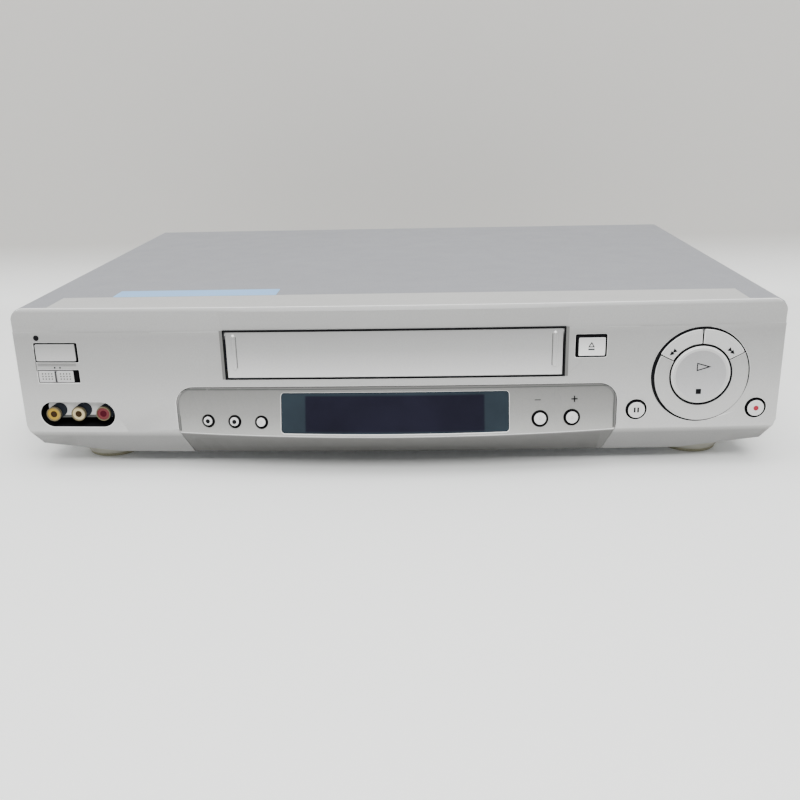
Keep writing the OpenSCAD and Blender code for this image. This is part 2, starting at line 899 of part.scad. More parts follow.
module vents() {
    for (i = [0:vent_count - 1], j = [0:vent_rows - 1]) {
        translate([board_in + 7 + i * vent_pitch, front_y + body_d / 2 + j * (vent_l + 10), 0])
            linear_extrude(base_z + 5) round_rect(3, vent_l, 1.45);
    }
}

module pan_outline(t) {
    w = pan_hw - t;
    low = base_z + t;
    polygon([
        [-w, side_low_z], [-chamfer_hw + seam + t, base_z + corner_rise + t / 2],
        [-bottom_hw, low], [bottom_hw, low], [chamfer_hw - seam - t, base_z + corner_rise + t / 2],
        [w, side_low_z], [w, top_z], [-w, top_z]
    ]);
}

module chassis_pan() {
    y0 = front_y + bezel_d + seam;
    y1 = rear_y - pan_t;
    side_top = base_z + 46;
    color([0.62, 0.63, 0.64]) {
        difference() {
            between_y(y0, y1) intersection() {
                pan_outline(0);
                translate([-half_w, 0]) square([body_w, side_top]);
            }
            between_y(y0 - 1, y1 + 1) pan_outline(pan_t);
            both_sides() vents();
        }
        for (p = deck_posts) {
            translate([p[0] * (deck_hw - 8), front_y + p[1], base_z + pan_t / 2])
                cylinder(r = 4, h = deck_h - pan_t / 2);
        }
        for (p = board_posts) {
            translate([p[0], front_y + p[1], base_z + pan_t / 2])
                cylinder(r = 3, h = board_z - base_z - pan_t / 2);
        }
    }
}

rear_post_f = body_d - 18;
board_posts = [
    [-board_edge + 9, 132], [-board_in - 7, 132], [-board_edge + 9, rear_post_f],
    [-board_in - 7, rear_post_f], [board_in + 7, 60], [board_edge - 9, 60],
    [board_in + 7, rear_post_f], [board_edge - 9, rear_post_f]
];
rear_jack_pitch = [18, 20];
rear_jack_x = -0.307 * half_w;
rear_jack_low = 30;
rear_jack_places = [for (i = [-1:1], j = [0:1])
    [rear_jack_x + i * rear_jack_pitch[0], rear_jack_low + j * rear_jack_pitch[1]]];
tuner_x = board_edge - tuner_size[0] / 2 - 3;
aerial_places = [[tuner_x, 32], [tuner_x, 32 + aerial_pitch]];
inlet_place = [39 - half_w, 24];

module rear_panel() {
    color([0.2, 0.2, 0.21]) difference() {
        between_y(rear_y - pan_t, rear_y) difference() {
            intersection() {
                pan_outline(0);
                lid_profile(pan_hw, lid_top - lid_t - seam, 3, 0);
            }
            for (p = rear_jack_places) {
                translate([p[0], base_z + p[1]]) circle(jack_r + 0.25);
            }
            for (p = aerial_places) {
                translate([p[0], base_z + p[1]]) circle(5.2);
            }
            translate([inlet_place[0], base_z + inlet_place[1]]) round_rect(26.6, 16.6, 2.9);
            for (i = [0:vent_count - 1]) {
                translate([0.14 * half_w + i * vent_pitch, base_z + 58]) round_rect(3, 22, 1.45);
            }
        }
        for (x = screw_places) {
            translate([x, 0, base_z + screw_h]) rod_y(screw_r + running, rear_y - 9, rear_y + 1);
        }
    }
}

module at_feet() {
    for (x = [-1, 1], f = [foot_inset, body_d - foot_inset]) {
        translate([x * foot_span / 2, front_y + f, 0]) children();
    }
}

module feet() {
    color([0.62, 0.61, 0.58]) at_feet() difference() {
        translate([0, 0, pad_t]) cylinder(r1 = foot_dia / 2 - 1.2, r2 = foot_dia / 2, h = foot_h - pad_t);
        translate([0, 0, pad_t + 1.5]) cylinder(r = foot_dia / 2 - 3.5, h = foot_h);
    }
}

module foot_pads() {
    color([0.52, 0.5, 0.42]) at_feet() cylinder(r = foot_dia / 2 - 2, h = pad_t);
}

// Boards and their parts -------------------------------------------------------------------------
module front_board() {
    low = base_z + 5;
    high = base_z + 75;
    step = slot_z - slot_h / 2 - 6;
    edge = half_w - 10;
    color([0.45, 0.36, 0.2]) {
        between_y(front_board_y, front_board_y + board_t) polygon([
            [-edge, base_z + 12], [-edge + 20, low], [edge - 20, low], [edge, base_z + 12],
            [edge, high], [slot_w / 2 + 8, high], [slot_w / 2 + 8, step],
            [-slot_w / 2 - 8, step], [-slot_w / 2 - 8, high], [-edge, high]
        ]);
        for (p = switch_places) {
            translate([p[0], 0, p[1]]) between_y(front_board_y - switch_h, front_board_y + 0.1)
                square(6, center = true);
        }
        translate([dial_x, face_y(dial_x) + pivot_back, base_z + dial_h]) difference() {
            rod_y(pivot_post_r, pivot_gap, front_board_y + 0.1 - face_y(dial_x) - pivot_back);
            rod_x(pivot_r + running, -pivot_post_r - 1, pivot_post_r + 1);
        }
    }
}

segment_reach = (play_r + disc_r) / 2 + 0.5;
rewind_mid = (90 + segment_to) / 2;
forward_mid = (90 + segment_from) / 2;
switch_places = [
    [power_x, base_z + power_h], [standby_x + standby_travel / 2, base_z + standby_h],
    [eject_x, base_z + eject_h], [pause_x, base_z + pause_h], [record_x, base_z + record_h],
    [dial_x, base_z + dial_h + toe_reach], [dial_x, base_z + dial_h - toe_reach],
    [dial_x + segment_reach * cos(rewind_mid), base_z + dial_h + segment_reach * sin(rewind_mid)],
    [dial_x + segment_reach * cos(forward_mid), base_z + dial_h + segment_reach * sin(forward_mid)],
    each [for (i = [0:2]) [key_x + i * key_pitch, base_z + key_h]],
    each [for (i = [0:1]) [channel_x + i * channel_pitch, base_z + channel_h]]
];

module display_tube() {
    color([0.25, 0.3, 0.32]) {
        hw = 0.75 * window_w / 2;
        hh = 0.82 * window_h / 2;
        z = base_z + window_mid;
        block(-hw, hw, front_board_y - 9, front_board_y - 3, z - hh, z + hh);
        both_sides() block(0.6 * hw, 0.75 * hw, front_board_y - 4, front_board_y, z - 5, z + 5);
    }
}

module main_board() {
    chips = [[0.22, 110, 18, 18], [0.58, 150, 26, 14], [0.2, 200, 14, 24], [0.82, 96, 12, 20]];
    color([0.16, 0.32, 0.18]) {
        block(board_in, board_edge, front_y + 52, rear_y - pan_t - 2, board_z, board_z + board_t);
        for (c = chips) {
            translate([board_in + c[0] * (board_edge - board_in), front_y + c[1],
                       board_z + board_t - 0.1])
                linear_extrude(chip_h) square([c[2], c[3]], center = true);
        }
    }
}

module power_board() {
    color([0.45, 0.36, 0.2])
        block(-board_edge, -board_in, front_y + 124, rear_y - pan_t - 2,
              board_z, board_z + board_t);
}

module transformer() {
    z = board_z + board_t;
    half = transformer_w / 2;
    leg = 6;
    color([0.55, 0.45, 0.25]) translate([half + 3 - board_edge, front_y + 216, z]) {
        block(-half, half, 4 - half, half - 4, 0, leg + 1);
        block(8 - half, half - 8, 10 - half, half - 10, leg, transformer_h - leg);
        difference() {
            block(2 - half, half - 2, -8, 8, leg + 1, transformer_h);
            block(7.5 - half, half - 7.5, -9, 9, leg + 0.9, transformer_h - leg);
        }
    }
}

capacitor_places = [[0.17, 158, 1], [0.44, 156, 0.8], [0.69, 158, 0.6], [0.19, 252, 0.6]];

module capacitors() {
    color([0.12, 0.14, 0.3]) for (c = capacitor_places) {
        x = board_in + c[0] * (board_edge - board_in);
        h = capacitor_h * (0.4 + 0.6 * c[2]);
        translate([-x, front_y + c[1], board_z + board_t]) difference() {
            cylinder(r = capacitor_r * c[2], h = h);
            translate([0, 0, h - 0.4]) cylinder(r = capacitor_r * c[2] - 1.5, h = 1);
        }
    }
}

module heat_sink() {
    fins = 7;
    fin_t = 1.4;
    l = sink_size[1];
    color([0.7, 0.71, 0.73])
        translate([-board_in - 4 - sink_size[0], front_y + 196, board_z + board_t]) {
            block(0, 2, 0, l, 0, sink_size[2]);
            for (i = [0:fins - 1]) {
                block(1.5, sink_size[0], i * (l - fin_t) / (fins - 1),
                      i * (l - fin_t) / (fins - 1) + fin_t, 0, sink_size[2] - 2);
            }
        }
}

module tuner_can() {
    z = board_z + board_t;
    half = tuner_size[0] / 2;
    y0 = rear_y - pan_t - 0.4 - tuner_size[1];
    color([0.72, 0.72, 0.7]) difference() {
        block(tuner_x - half, tuner_x + half, y0, y0 + tuner_size[1], z, z + tuner_size[2]);
        for (i = [1:3]) {
            translate([tuner_x, y0 + i * tuner_size[1] / 4, z + tuner_size[2] - 6])
                cylinder(r = 2, h = 10);
        }
    }
}

rear_block_y = rear_y - pan_t - 0.05;

module rear_jack_block() {
    w = rear_jack_pitch[0] + 12;
    h = rear_jack_pitch[1] + 18;
    color([0.12, 0.12, 0.12]) difference() {
        translate([rear_jack_x, 0, base_z + rear_jack_low + rear_jack_pitch[1] / 2])
            block(-w, w, rear_block_y - 12, rear_block_y, -h / 2, h / 2);
        for (p = rear_jack_places) {
            translate([p[0], 0, base_z + p[1]]) rod_y(jack_bore_r + 0.3, rear_y - 10, rear_y);
        }
    }
}

module rear_jacks() {
    color([0.75, 0.74, 0.7]) for (p = rear_jack_places) {
        translate([p[0], 0, base_z + p[1]]) difference() {
            rod_y(jack_r, rear_block_y, rear_y + rear_jack_l);
            rod_y(jack_bore_r, rear_y - 10, rear_y + rear_jack_l + 1);
        }
    }
}

module aerial_sockets() {
    color([0.75, 0.75, 0.72]) for (p = aerial_places) {
        translate([p[0], 0, base_z + p[1]]) difference() {
            union() {
                rod_y(4.9, rear_y - pan_t - 0.4, rear_y + socket_l);
                rod_y(6.5, rear_y, rear_y + 1.5);
            }
            rod_y(3.4, rear_y + 2, rear_y + socket_l + 1);
            rod_y(0.6, rear_y, rear_y + socket_l + 1);
        }
    }
}

module mains_inlet() {
    color([0.1, 0.1, 0.1]) translate([inlet_place[0], 0, base_z + inlet_place[1]]) {
        difference() {
            union() {
                between_y(rear_y - 18, rear_y + 1.5) round_rect(26, 16, 2.6);
                between_y(rear_y, rear_y + 1.5) round_rect(30, 20, 2.6);
            }
            between_y(rear_y - 12, rear_y + 2) {
                translate([-3.3, 0]) circle(4.3);
                translate([3.3, 0]) circle(4.3);
                square([6.6, 8.6], center = true);
            }
        }
        for (x = [-4.3, 4.3]) {
            translate([x, 0, 0]) rod_y(1.15, rear_y - 13, rear_y - 1);
        }
        block(-10, 10, rear_y - 17, rear_y - 3, board_z + board_t - base_z - inlet_place[1], -7.9);
    }
}

// Gear teeth -------------------------------------------------------------------------------------
function involute(r, base) = r <= base ? 0 : sqrt(pow(r / base, 2) - 1) * 180 / PI - acos(base / r);

// Half the angle of a tooth at radius r, for a gear of n teeth
function tooth_half(r, n) =
    let (pitch_r = n * gear_m / 2, base = pitch_r * cos(pressure))
        90 / n - backlash / 4 / pitch_r * 180 / PI + involute(pitch_r, base) - involute(r, base);

module gear_outline(n) {
    pitch_r = n * gear_m / 2;
    flank = [for (s = [-1.25, -0.7, 0, 0.55, 1]) pitch_r + s * gear_m];
    polygon([for (i = [0:n - 1]) each concat(
        [for (r = flank) let (a = 90 + 360 * i / n - tooth_half(r, n)) r * [cos(a), sin(a)]],
        [for (k = [4:-1:0]) let (r = flank[k], a = 90 + 360 * i / n + tooth_half(r, n))
            r * [cos(a), sin(a)]]
    )]);
}

// Rack teeth that point down from the pitch line, with a space at the origin
module rack_outline(n_left, n_right, back) {
    pitch = PI * gear_m;
    half = pitch / 4 - backlash / 4;
    add = gear_m * tan(pressure);
    points = [for (i = [-n_left:n_right - 1]) let (c = (i + 0.5) * pitch) each [
        [c - half - 1.25 * add, 1.25 * gear_m], [c - half + add, -gear_m],
        [c + half - add, -gear_m], [c + half + 1.25 * add, 1.25 * gear_m]
    ]];
    polygon(concat(points, [[n_right * pitch, back], [-n_left * pitch, back]]));
}

// Cassette carriage ------------------------------------------------------------------------------
holder_low = slot_z - cassette_h / 2 - sheet_t;
holder_top = slot_z + cassette_h / 2 + sheet_t;
pinion_r = pinion_teeth * gear_m / 2;
pinion_f = holder_f + 91;
rack_z = top_z - 13;
pinion_z = rack_z - pinion_r;
rail_z = rack_z + 1.25 * gear_m;
rail_top = rail_z + 2.6;
pinion_w = 3.6;
pinion_x = bracket_out + 0.4;
pin_places = [26, 86];
pin_r = 1.5;
pin_h = cassette_h - 5;
slider_f0 = holder_f + 6;
slider_f1 = holder_f + 106;
bracket_f0 = holder_f - 2;
bracket_f1 = slider_f1 + carriage_travel + 10;

module cassette_holder() {
    ledge = 18;
    ledge_l = holder_d - 14;
    y0 = front_y + holder_f;
    color([0.75, 0.76, 0.78]) {
        difference() {
            block(-holder_hw, holder_hw, y0, y0 + holder_d, holder_top - sheet_t, holder_top);
            block(-40, 40, y0 + 34, y0 + 74, holder_low, holder_top + 1);
        }
        both_sides() {
            block(holder_hw - sheet_t, holder_hw, y0, y0 + holder_d, holder_low, holder_top);
            block(holder_hw - ledge, holder_hw, y0, y0 + ledge_l, holder_low, holder_low + sheet_t);
            for (f = pin_places) {
                translate([0, y0 + f, holder_low + pin_h])
                    rod_x(pin_r, holder_hw - sheet_t / 2, slider_out - 0.2);
            }
        }
    }
}

module slider_side() {
    slot_low = holder_low + pin_h - holder_drop - pin_r - 0.4;
    slot_high = holder_low + pin_h + pin_r + 0.4;
    difference() {
        block(slider_in, slider_out, front_y + slider_f0, front_y + slider_f1,
              slot_low - 4, rail_top);
        for (f = pin_places) {
            between_x(slider_in - 1, slider_out + 1)
                translate([front_y + holder_f + f, (slot_low + slot_high) / 2])
                    round_rect(2 * pin_r + 0.6, slot_high - slot_low, pin_r + 0.29);
        }
    }
    block(slider_in, pinion_x - 0.2, front_y + slider_f0, front_y + slider_f1, rail_z, rail_top);
}

module carriage_slider() {
    teeth_left = ceil((carriage_travel + 6) / (PI * gear_m));
    color([0.66, 0.67, 0.69]) {
        both_sides() slider_side();
        block(-slider_out, slider_out, front_y + slider_f1 - 18, front_y + slider_f1 - 2,
              holder_top + 0.6, rail_top);
        between_x(pinion_x - 0.3, pinion_x + pinion_w) translate([front_y + pinion_f, rack_z])
            rack_outline(teeth_left, 2, rail_top - rack_z);
    }
}

module carriage_frame() {
    color([0.7, 0.71, 0.72]) {
        both_sides() {
            difference() {
                block(bracket_in, bracket_out, front_y + bracket_f0, front_y + bracket_f1,
                      deck_top, rail_z - 0.25);
                between_x(bracket_in - 1, bracket_out + 1)
                    translate([front_y + (bracket_f0 + bracket_f1) / 2, deck_top + 18])
                        round_rect(110, 20, 5);
            }
            block(bracket_in, deck_hw, front_y + bracket_f0, front_y + bracket_f0 + 30,
                  deck_top, deck_top + bracket_t);
            block(bracket_in, deck_hw, front_y + bracket_f1 - 30, front_y + bracket_f1,
                  deck_top, deck_top + bracket_t);
            block(bracket_in, bracket_out, front_y + bracket_f0, front_y + slider_f0 - 1,
                  deck_top, rail_top);
        }
        block(-bracket_out, bracket_out, front_y + bracket_f0, front_y + slider_f0 - 1,
              holder_top + 0.6, rail_top);
        translate([0, front_y + pinion_f, pinion_z])
            rod_x(2, bracket_out - 0.5, pinion_x + pinion_w + 1);
    }
}

module drive_pinion() {
    color([0.85, 0.84, 0.78]) difference() {
        between_x(pinion_x, pinion_x + pinion_w) translate([front_y + pinion_f, pinion_z])
            gear_outline(pinion_teeth);
        translate([0, front_y + pinion_f, pinion_z]) rod_x(2 + running, 0, half_w);
    }
}

// Deck -------------------------------------------------------------------------------------------
capstan_place = [64, 214];
pinch_pivot = [86, 236];
pinch_swing = 25;
roller_r = 6.5;
capstan_r = 1.5;
roller_gap = 0.3;
contact = capstan_r + roller_r + roller_gap;
engaged = capstan_place + contact * [0.3, -0.954];
pinch_l = norm(engaged - pinch_pivot);
pinch_angle = atan2(engaged[1] - pinch_pivot[1], engaged[0] - pinch_pivot[0]) + pinch_swing;
cam_place = [-60, 226];
cam_r = cam_teeth * gear_m / 2;
motor_r = motor_teeth * gear_m / 2;
motor_place = cam_place - [cam_r + motor_r + 0.1, 0];
motor_shaft_r = 1.2;
gear_z = base_z + 10;
gear_w = 5;
flywheel_w = 7;
bearing_l = deck_z - gear_z - flywheel_w - 0.6;
tension_place = [-74, 206];
guide_start = [33, 188];
guide_line = [7, 62];
guide_dir = guide_line / norm(guide_line);
pin_rod_r = 1.5;

function deck_at(p) = [p[0], front_y + p[1], 0];

module guide_slot() {
    turn = atan2(guide_dir[1], guide_dir[0]);
    translate(deck_at(guide_start)) rotate([0, 0, turn]) {
        translate([0, -2.6, deck_z - 1]) cube([guide_travel, 5.2, deck_t + 2]);
        for (s = [0, guide_travel]) {
            translate([s, 0, deck_z - 1]) cylinder(r = 2.6, h = deck_t + 2);
        }
    }
}

module deck_plate() {
    color([0.66, 0.67, 0.68]) {
        difference() {
            block(-deck_hw, deck_hw, front_y + bracket_f0, front_y + body_d - 16, deck_z, deck_top);
            both_sides() guide_slot();
            translate(deck_at(capstan_place)) translate([0, 0, deck_z - 1]) cylinder(r = 3.2, h = 9);
            translate(deck_at(motor_place)) translate([0, 0, deck_z - 1]) cylinder(r = 3, h = 9);
            translate([0, front_y + 88, deck_z - 1]) linear_extrude(9) round_rect(100, 50, 6);
        }
        both_sides() translate(deck_at([reel_span / 2, reel_f])) {
            translate([0, 0, deck_top - 0.5]) cylinder(r = pin_rod_r, h = 18);
            translate([0, 0, deck_top - 0.5]) cylinder(r = 3.4, h = 1.3);
        }
        translate(deck_at(pinch_pivot)) translate([0, 0, deck_top - 0.5])
            cylinder(r = pin_rod_r, h = 11);
        translate(deck_at(tension_place)) translate([0, 0, deck_top - 0.5])
            cylinder(r = pin_rod_r, h = 7);
        translate(deck_at(cam_place)) translate([0, 0, gear_z - 1])
            cylinder(r = 2, h = deck_z - gear_z + 1.5);
        translate(deck_at(capstan_place)) translate([0, 0, deck_z - bearing_l])
            tube(6, capstan_r + running, bearing_l + 0.1);
    }
}

// Reel: a drive disc with a rim of fine notches and a splined hub
module reel() {
    splines = 6;
    z = deck_top + 1;
    color([0.12, 0.12, 0.13]) difference() {
        translate([0, 0, z]) {
            cylinder(r = reel_r, h = 3);
            cylinder(r = 11, h = 6);
            cylinder(r = 6, h = 20);
            translate([0, 0, 20]) cylinder(r1 = 6, r2 = 3.2, h = 2.6);
            for (i = [0:splines - 1]) {
                rotate([0, 0, i * 360 / splines]) translate([5.4, -0.9, 5]) cube([2.6, 1.8, 13]);
            }
        }
        translate([0, 0, z - 1]) cylinder(r = pin_rod_r + running, h = 19);
    }
}

module supply_reel() {
    translate(deck_at([-reel_span / 2, reel_f])) reel();
}

module takeup_reel() {
    translate(deck_at([reel_span / 2, reel_f])) reel();
}

lower_drum_h = 13;
upper_drum_h = 12;
drum_lift = 5;

module on_drum() {
    translate([0, front_y + drum_f, deck_top + drum_lift]) rotate([drum_tilt, 0, 0]) children();
}

module lower_drum() {
    color([0.78, 0.79, 0.8]) difference() {
        union() {
            on_drum() cylinder(r = drum_r, h = lower_drum_h, $fn = 96);
            translate([0, front_y + drum_f, deck_top]) cylinder(r = 18, h = drum_lift + 3);
        }
        on_drum() {
            translate([0, 0, 2.5]) cylinder(r = 3 + running, h = 30);
            translate([0, 0, lower_drum_h - 3]) tube(drum_r - 6, 10, 9);
        }
    }
}

module upper_drum() {
    heads = 4;
    color([0.82, 0.83, 0.84]) on_drum() {
        difference() {
            translate([0, 0, lower_drum_h + 0.3]) cylinder(r = drum_r, h = upper_drum_h, $fn = 96);
            for (i = [0:heads - 1]) {
                rotate([0, 0, i * 360 / heads]) translate([drum_r - 3, -2, lower_drum_h])
                    cube([5, 4, 3]);
            }
            translate([0, 0, lower_drum_h + upper_drum_h - 4]) tube(drum_r - 4, 9, 9);
        }
        for (i = [0:heads - 1]) {
            rotate([0, 0, i * 360 / heads]) translate([drum_r - 4, -1, lower_drum_h + 0.4])
                cube([3.8, 2, 1.2]);
        }
        translate([0, 0, 3]) cylinder(r = 3, h = lower_drum_h + upper_drum_h);
        translate([0, 0, lower_drum_h + upper_drum_h]) cylinder(r = 6, h = 4);
    }
}

module capstan() {
    wheel_r = 23;
    color([0.7, 0.71, 0.73]) translate(deck_at(capstan_place)) {
        translate([0, 0, gear_z - 1]) cylinder(r = capstan_r, h = deck_top + 30 - gear_z);
        difference() {
            translate([0, 0, gear_z]) cylinder(r = wheel_r, h = flywheel_w);
            translate([0, 0, gear_z - 1]) tube(wheel_r - 3, 8, 4);
        }
    }
}

module pinch_arm() {
    tip = pinch_l * [cos(pinch_angle), sin(pinch_angle)];
    h = 3;
    color([0.6, 0.61, 0.62]) translate(deck_at(pinch_pivot)) translate([0, 0, deck_top + 0.3]) {
        difference() {
            union() {
                cylinder(r = 4.5, h = 9);
                translate([tip[0], tip[1], 0]) cylinder(r = 4, h = h);
                rotate([0, 0, pinch_angle]) translate([0, -3, 0]) cube([pinch_l, 6, h]);
            }
            translate([0, 0, -1]) cylinder(r = pin_rod_r + running, h = 12);
        }
        translate([tip[0], tip[1], h - 0.5]) cylinder(r = 1.4, h = 22);
    }
}

module pinch_roller() {
    tip = pinch_pivot + pinch_l * [cos(pinch_angle), sin(pinch_angle)];
    color([0.15, 0.15, 0.15]) translate(deck_at(tip)) translate([0, 0, deck_top + 6])
        tube(roller_r, 1.4 + running, 16);
}

module guide_post() {
    color([0.8, 0.8, 0.78]) translate([0, 0, deck_top]) {
        translate([0, 0, 0.2]) cylinder(r = 6, h = 4);
        translate([0, 0, 4]) cylinder(r = 2.2, h = 22);
        translate([0, 0, 8]) cylinder(r = 3, h = 12.6);
        translate([0, 0, 24]) cylinder(r = 3, h = 2);
        translate([0, 0, -deck_t - 0.6]) cylinder(r = 2.3, h = 3);
        translate([0, 0, -deck_t - 2.2]) cylinder(r = 4, h = 2);
    }
}

module takeup_guide() {
    translate(deck_at(guide_start)) guide_post();
}

module supply_guide() {
    translate(deck_at([-guide_start[0], guide_start[1]])) guide_post();
}

module cam_gear() {
    color([0.88, 0.87, 0.82]) translate(deck_at(cam_place)) difference() {
        union() {
            translate([0, 0, gear_z]) linear_extrude(gear_w) gear_outline(cam_teeth);
            translate([0, 0, gear_z]) cylinder(r = 6, h = gear_w + 2);
        }
        translate([0, 0, gear_z - 2]) cylinder(r = 2 + running, h = gear_w + 6);
        translate([0, 0, gear_z + gear_w - 2]) tube(13, 9.5, 9);
    }
}

module motor_gear() {
    color([0.85, 0.84, 0.78]) translate(deck_at(motor_place)) {
        translate([0, 0, gear_z - 0.5]) rotate([0, 0, motor_phase])
            linear_extrude(gear_w + 1) gear_outline(motor_teeth);
        translate([0, 0, gear_z]) cylinder(r = motor_shaft_r, h = deck_top + 6 - gear_z);
    }
}

// A cam tooth stands at the mesh line, so the motor gear turns a space towards it
cam_tooth_turn = (180 - 90) / (360 / cam_teeth);
cam_offset = (cam_tooth_turn - round(cam_tooth_turn)) * 360 / cam_teeth;
motor_tooth_turn = (0 - 90) / (360 / motor_teeth);
motor_offset = (motor_tooth_turn - round(motor_tooth_turn)) * 360 / motor_teeth;
motor_phase = motor_offset + 180 / motor_teeth + cam_offset * cam_teeth / motor_teeth;

module loading_motor() {
    color([0.6, 0.6, 0.62]) translate(deck_at(motor_place)) translate([0, 0, deck_top])
        difference() {
            cylinder(r = 9, h = 24);
            translate([0, 0, -1]) cylinder(r = motor_shaft_r + running, h = 14);
        }
}

module tension_arm() {
    arm_l = 24;
    h = 2.4;
    angle = -38;
    tip = arm_l * [cos(angle), sin(angle)];
    color([0.62, 0.63, 0.65]) translate(deck_at(tension_place)) translate([0, 0, deck_top + 0.3]) {
        difference() {
            union() {
                cylinder(r = 4, h = 6);
                rotate([0, 0, angle]) translate([0, -2.2, 0]) cube([arm_l, 4.4, h]);
                translate([tip[0], tip[1], 0]) cylinder(r = 3, h = h);
            }
            translate([0, 0, -1]) cylinder(r = pin_rod_r + running, h = 9);
        }
        translate([tip[0], tip[1], h - 0.5]) cylinder(r = 2, h = 22);
    }
}

module tape_heads() {
    head_h = 24;
    color([0.5, 0.5, 0.5]) {
        translate(deck_at([-58, 234])) translate([0, 0, deck_top]) {
            block(-6, 6, -5, 5, 0, 3);
            block(-4, 4, -4, 3, 2.9, head_h);
        }
        translate(deck_at([62, 238])) translate([0, 0, deck_top]) {
            block(-7, 7, -6, 6, 0, 3);
            block(-5, 5, -5, 4, 2.9, head_h);
        }
    }
}

front_bezel();
control_panel();
display_window();
tape_door();
power_button();
standby_switch();
power_indicator();
eject_button();
rewind_button();
fast_forward_button();
play_stop_button();
pause_button();
record_button();
key_at(0);  // key_1
key_at(1);  // key_2
key_at(2);  // key_3
channel_at(0);  // channel_down_button
channel_at(1);  // channel_up_button
jack_barrels();
jack_shells();
jack_insulator_yellow();
jack_insulator_white();
jack_insulator_red();
top_cover();
cover_screws();
chassis_pan();
rear_panel();
feet();
foot_pads();
front_board();
display_tube();
main_board();
power_board();
transformer();
capacitors();
heat_sink();
tuner_can();
rear_jack_block();
rear_jacks();
aerial_sockets();
mains_inlet();
deck_plate();
carriage_frame();
carriage_slider();
cassette_holder();
drive_pinion();
lower_drum();
upper_drum();
capstan();
pinch_arm();
pinch_roller();
supply_reel();
takeup_reel();
supply_guide();
takeup_guide();
cam_gear();
loading_motor();
motor_gear();
tension_arm();
tape_heads();
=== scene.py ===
import json
from math import asin, atan, cos, pi, radians, sin, sqrt

import bmesh
import bpy
from mathutils import Matrix, Vector

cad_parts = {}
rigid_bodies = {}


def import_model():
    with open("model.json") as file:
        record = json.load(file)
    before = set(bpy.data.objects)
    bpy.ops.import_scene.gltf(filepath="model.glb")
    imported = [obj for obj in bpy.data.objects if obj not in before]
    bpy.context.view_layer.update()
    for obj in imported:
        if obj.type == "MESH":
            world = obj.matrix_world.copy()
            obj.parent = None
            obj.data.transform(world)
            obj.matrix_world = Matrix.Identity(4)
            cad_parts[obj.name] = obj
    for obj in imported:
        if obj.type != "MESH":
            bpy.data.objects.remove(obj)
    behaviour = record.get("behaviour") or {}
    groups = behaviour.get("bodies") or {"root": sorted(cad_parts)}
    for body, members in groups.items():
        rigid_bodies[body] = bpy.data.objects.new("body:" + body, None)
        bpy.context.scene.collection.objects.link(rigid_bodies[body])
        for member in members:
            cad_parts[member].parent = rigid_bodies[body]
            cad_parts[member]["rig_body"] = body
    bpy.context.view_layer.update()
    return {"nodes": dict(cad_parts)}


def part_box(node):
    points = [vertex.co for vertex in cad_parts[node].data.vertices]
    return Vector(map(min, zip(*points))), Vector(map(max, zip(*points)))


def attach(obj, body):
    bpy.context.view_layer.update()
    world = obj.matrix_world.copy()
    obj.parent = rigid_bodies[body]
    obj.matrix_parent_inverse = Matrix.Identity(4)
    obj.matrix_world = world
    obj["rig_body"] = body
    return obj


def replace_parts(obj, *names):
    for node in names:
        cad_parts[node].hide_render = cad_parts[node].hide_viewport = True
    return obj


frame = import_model()

MM = 0.001
TINY = 1e-6
scene = bpy.context.scene

# Places of the front in millimetres, as the frame has them: x to the right, y back, z up --------
PAN_BACK = 16
FRONT_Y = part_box("chassis_pan")[0].y / MM - PAN_BACK
TOP_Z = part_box("top_cover")[1].z / MM
HALF_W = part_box("top_cover")[1].x / MM
FRONT_BOW = 5
BOW_R = (HALF_W * HALF_W + FRONT_BOW * FRONT_BOW) / (2 * FRONT_BOW)
BASE_Z = 8
PANEL_HW, PANEL_TOP, PANEL_SINK = 124.5, 51.3, 0.8
RIDGE_Z, RIDGE_OUT = 24.5, 9.5


def face_y(x):
    return FRONT_Y - FRONT_BOW + BOW_R - sqrt(BOW_R * BOW_R - x * x)


def face_turn(x):
    return asin(x / BOW_R)


def swell(x):
    """How far the panel's ridge stands out of the face."""
    return RIDGE_OUT * (1 - (x / PANEL_HW) ** 2)


def fall(z):
    """0 at the panel's top and 1 at its ridge."""
    return (PANEL_TOP - z) / (PANEL_TOP - RIDGE_Z)


def panel_y(x, z):
    return face_y(x) + PANEL_SINK * (1 - fall(z)) - swell(x) * fall(z)


def panel_turn(x, z):
    return atan(x / BOW_R + 2 * RIDGE_OUT * x / (PANEL_HW * PANEL_HW) * fall(z))


def panel_tilt(x):
    return atan((swell(x) + PANEL_SINK) / (PANEL_TOP - RIDGE_Z))


def on_face(x, z, stand=0.0):
    """Places a flat shape, drawn facing the front, on the bowed face."""
    return (Matrix.Translation((x, face_y(x), z)) @ Matrix.Rotation(face_turn(x), 4, "Z")
            @ Matrix.Translation((0, -stand, 0)))


def on_panel(x, z, stand=0.0):
    """The same on the leaning centre panel."""
    return (Matrix.Translation((x, panel_y(x, z), z)) @ Matrix.Rotation(panel_turn(x, z), 4, "Z")
            @ Matrix.Rotation(-panel_tilt(x), 4, "X") @ Matrix.Translation((0, -stand, 0)))


# Finishes ---------------------------------------------------------------------------------------
GRADE_SPAN = 100
FIELD_HALF_W, FIELD_HALF_H, FIELD_Z = 50.5, 9.8, 36.5


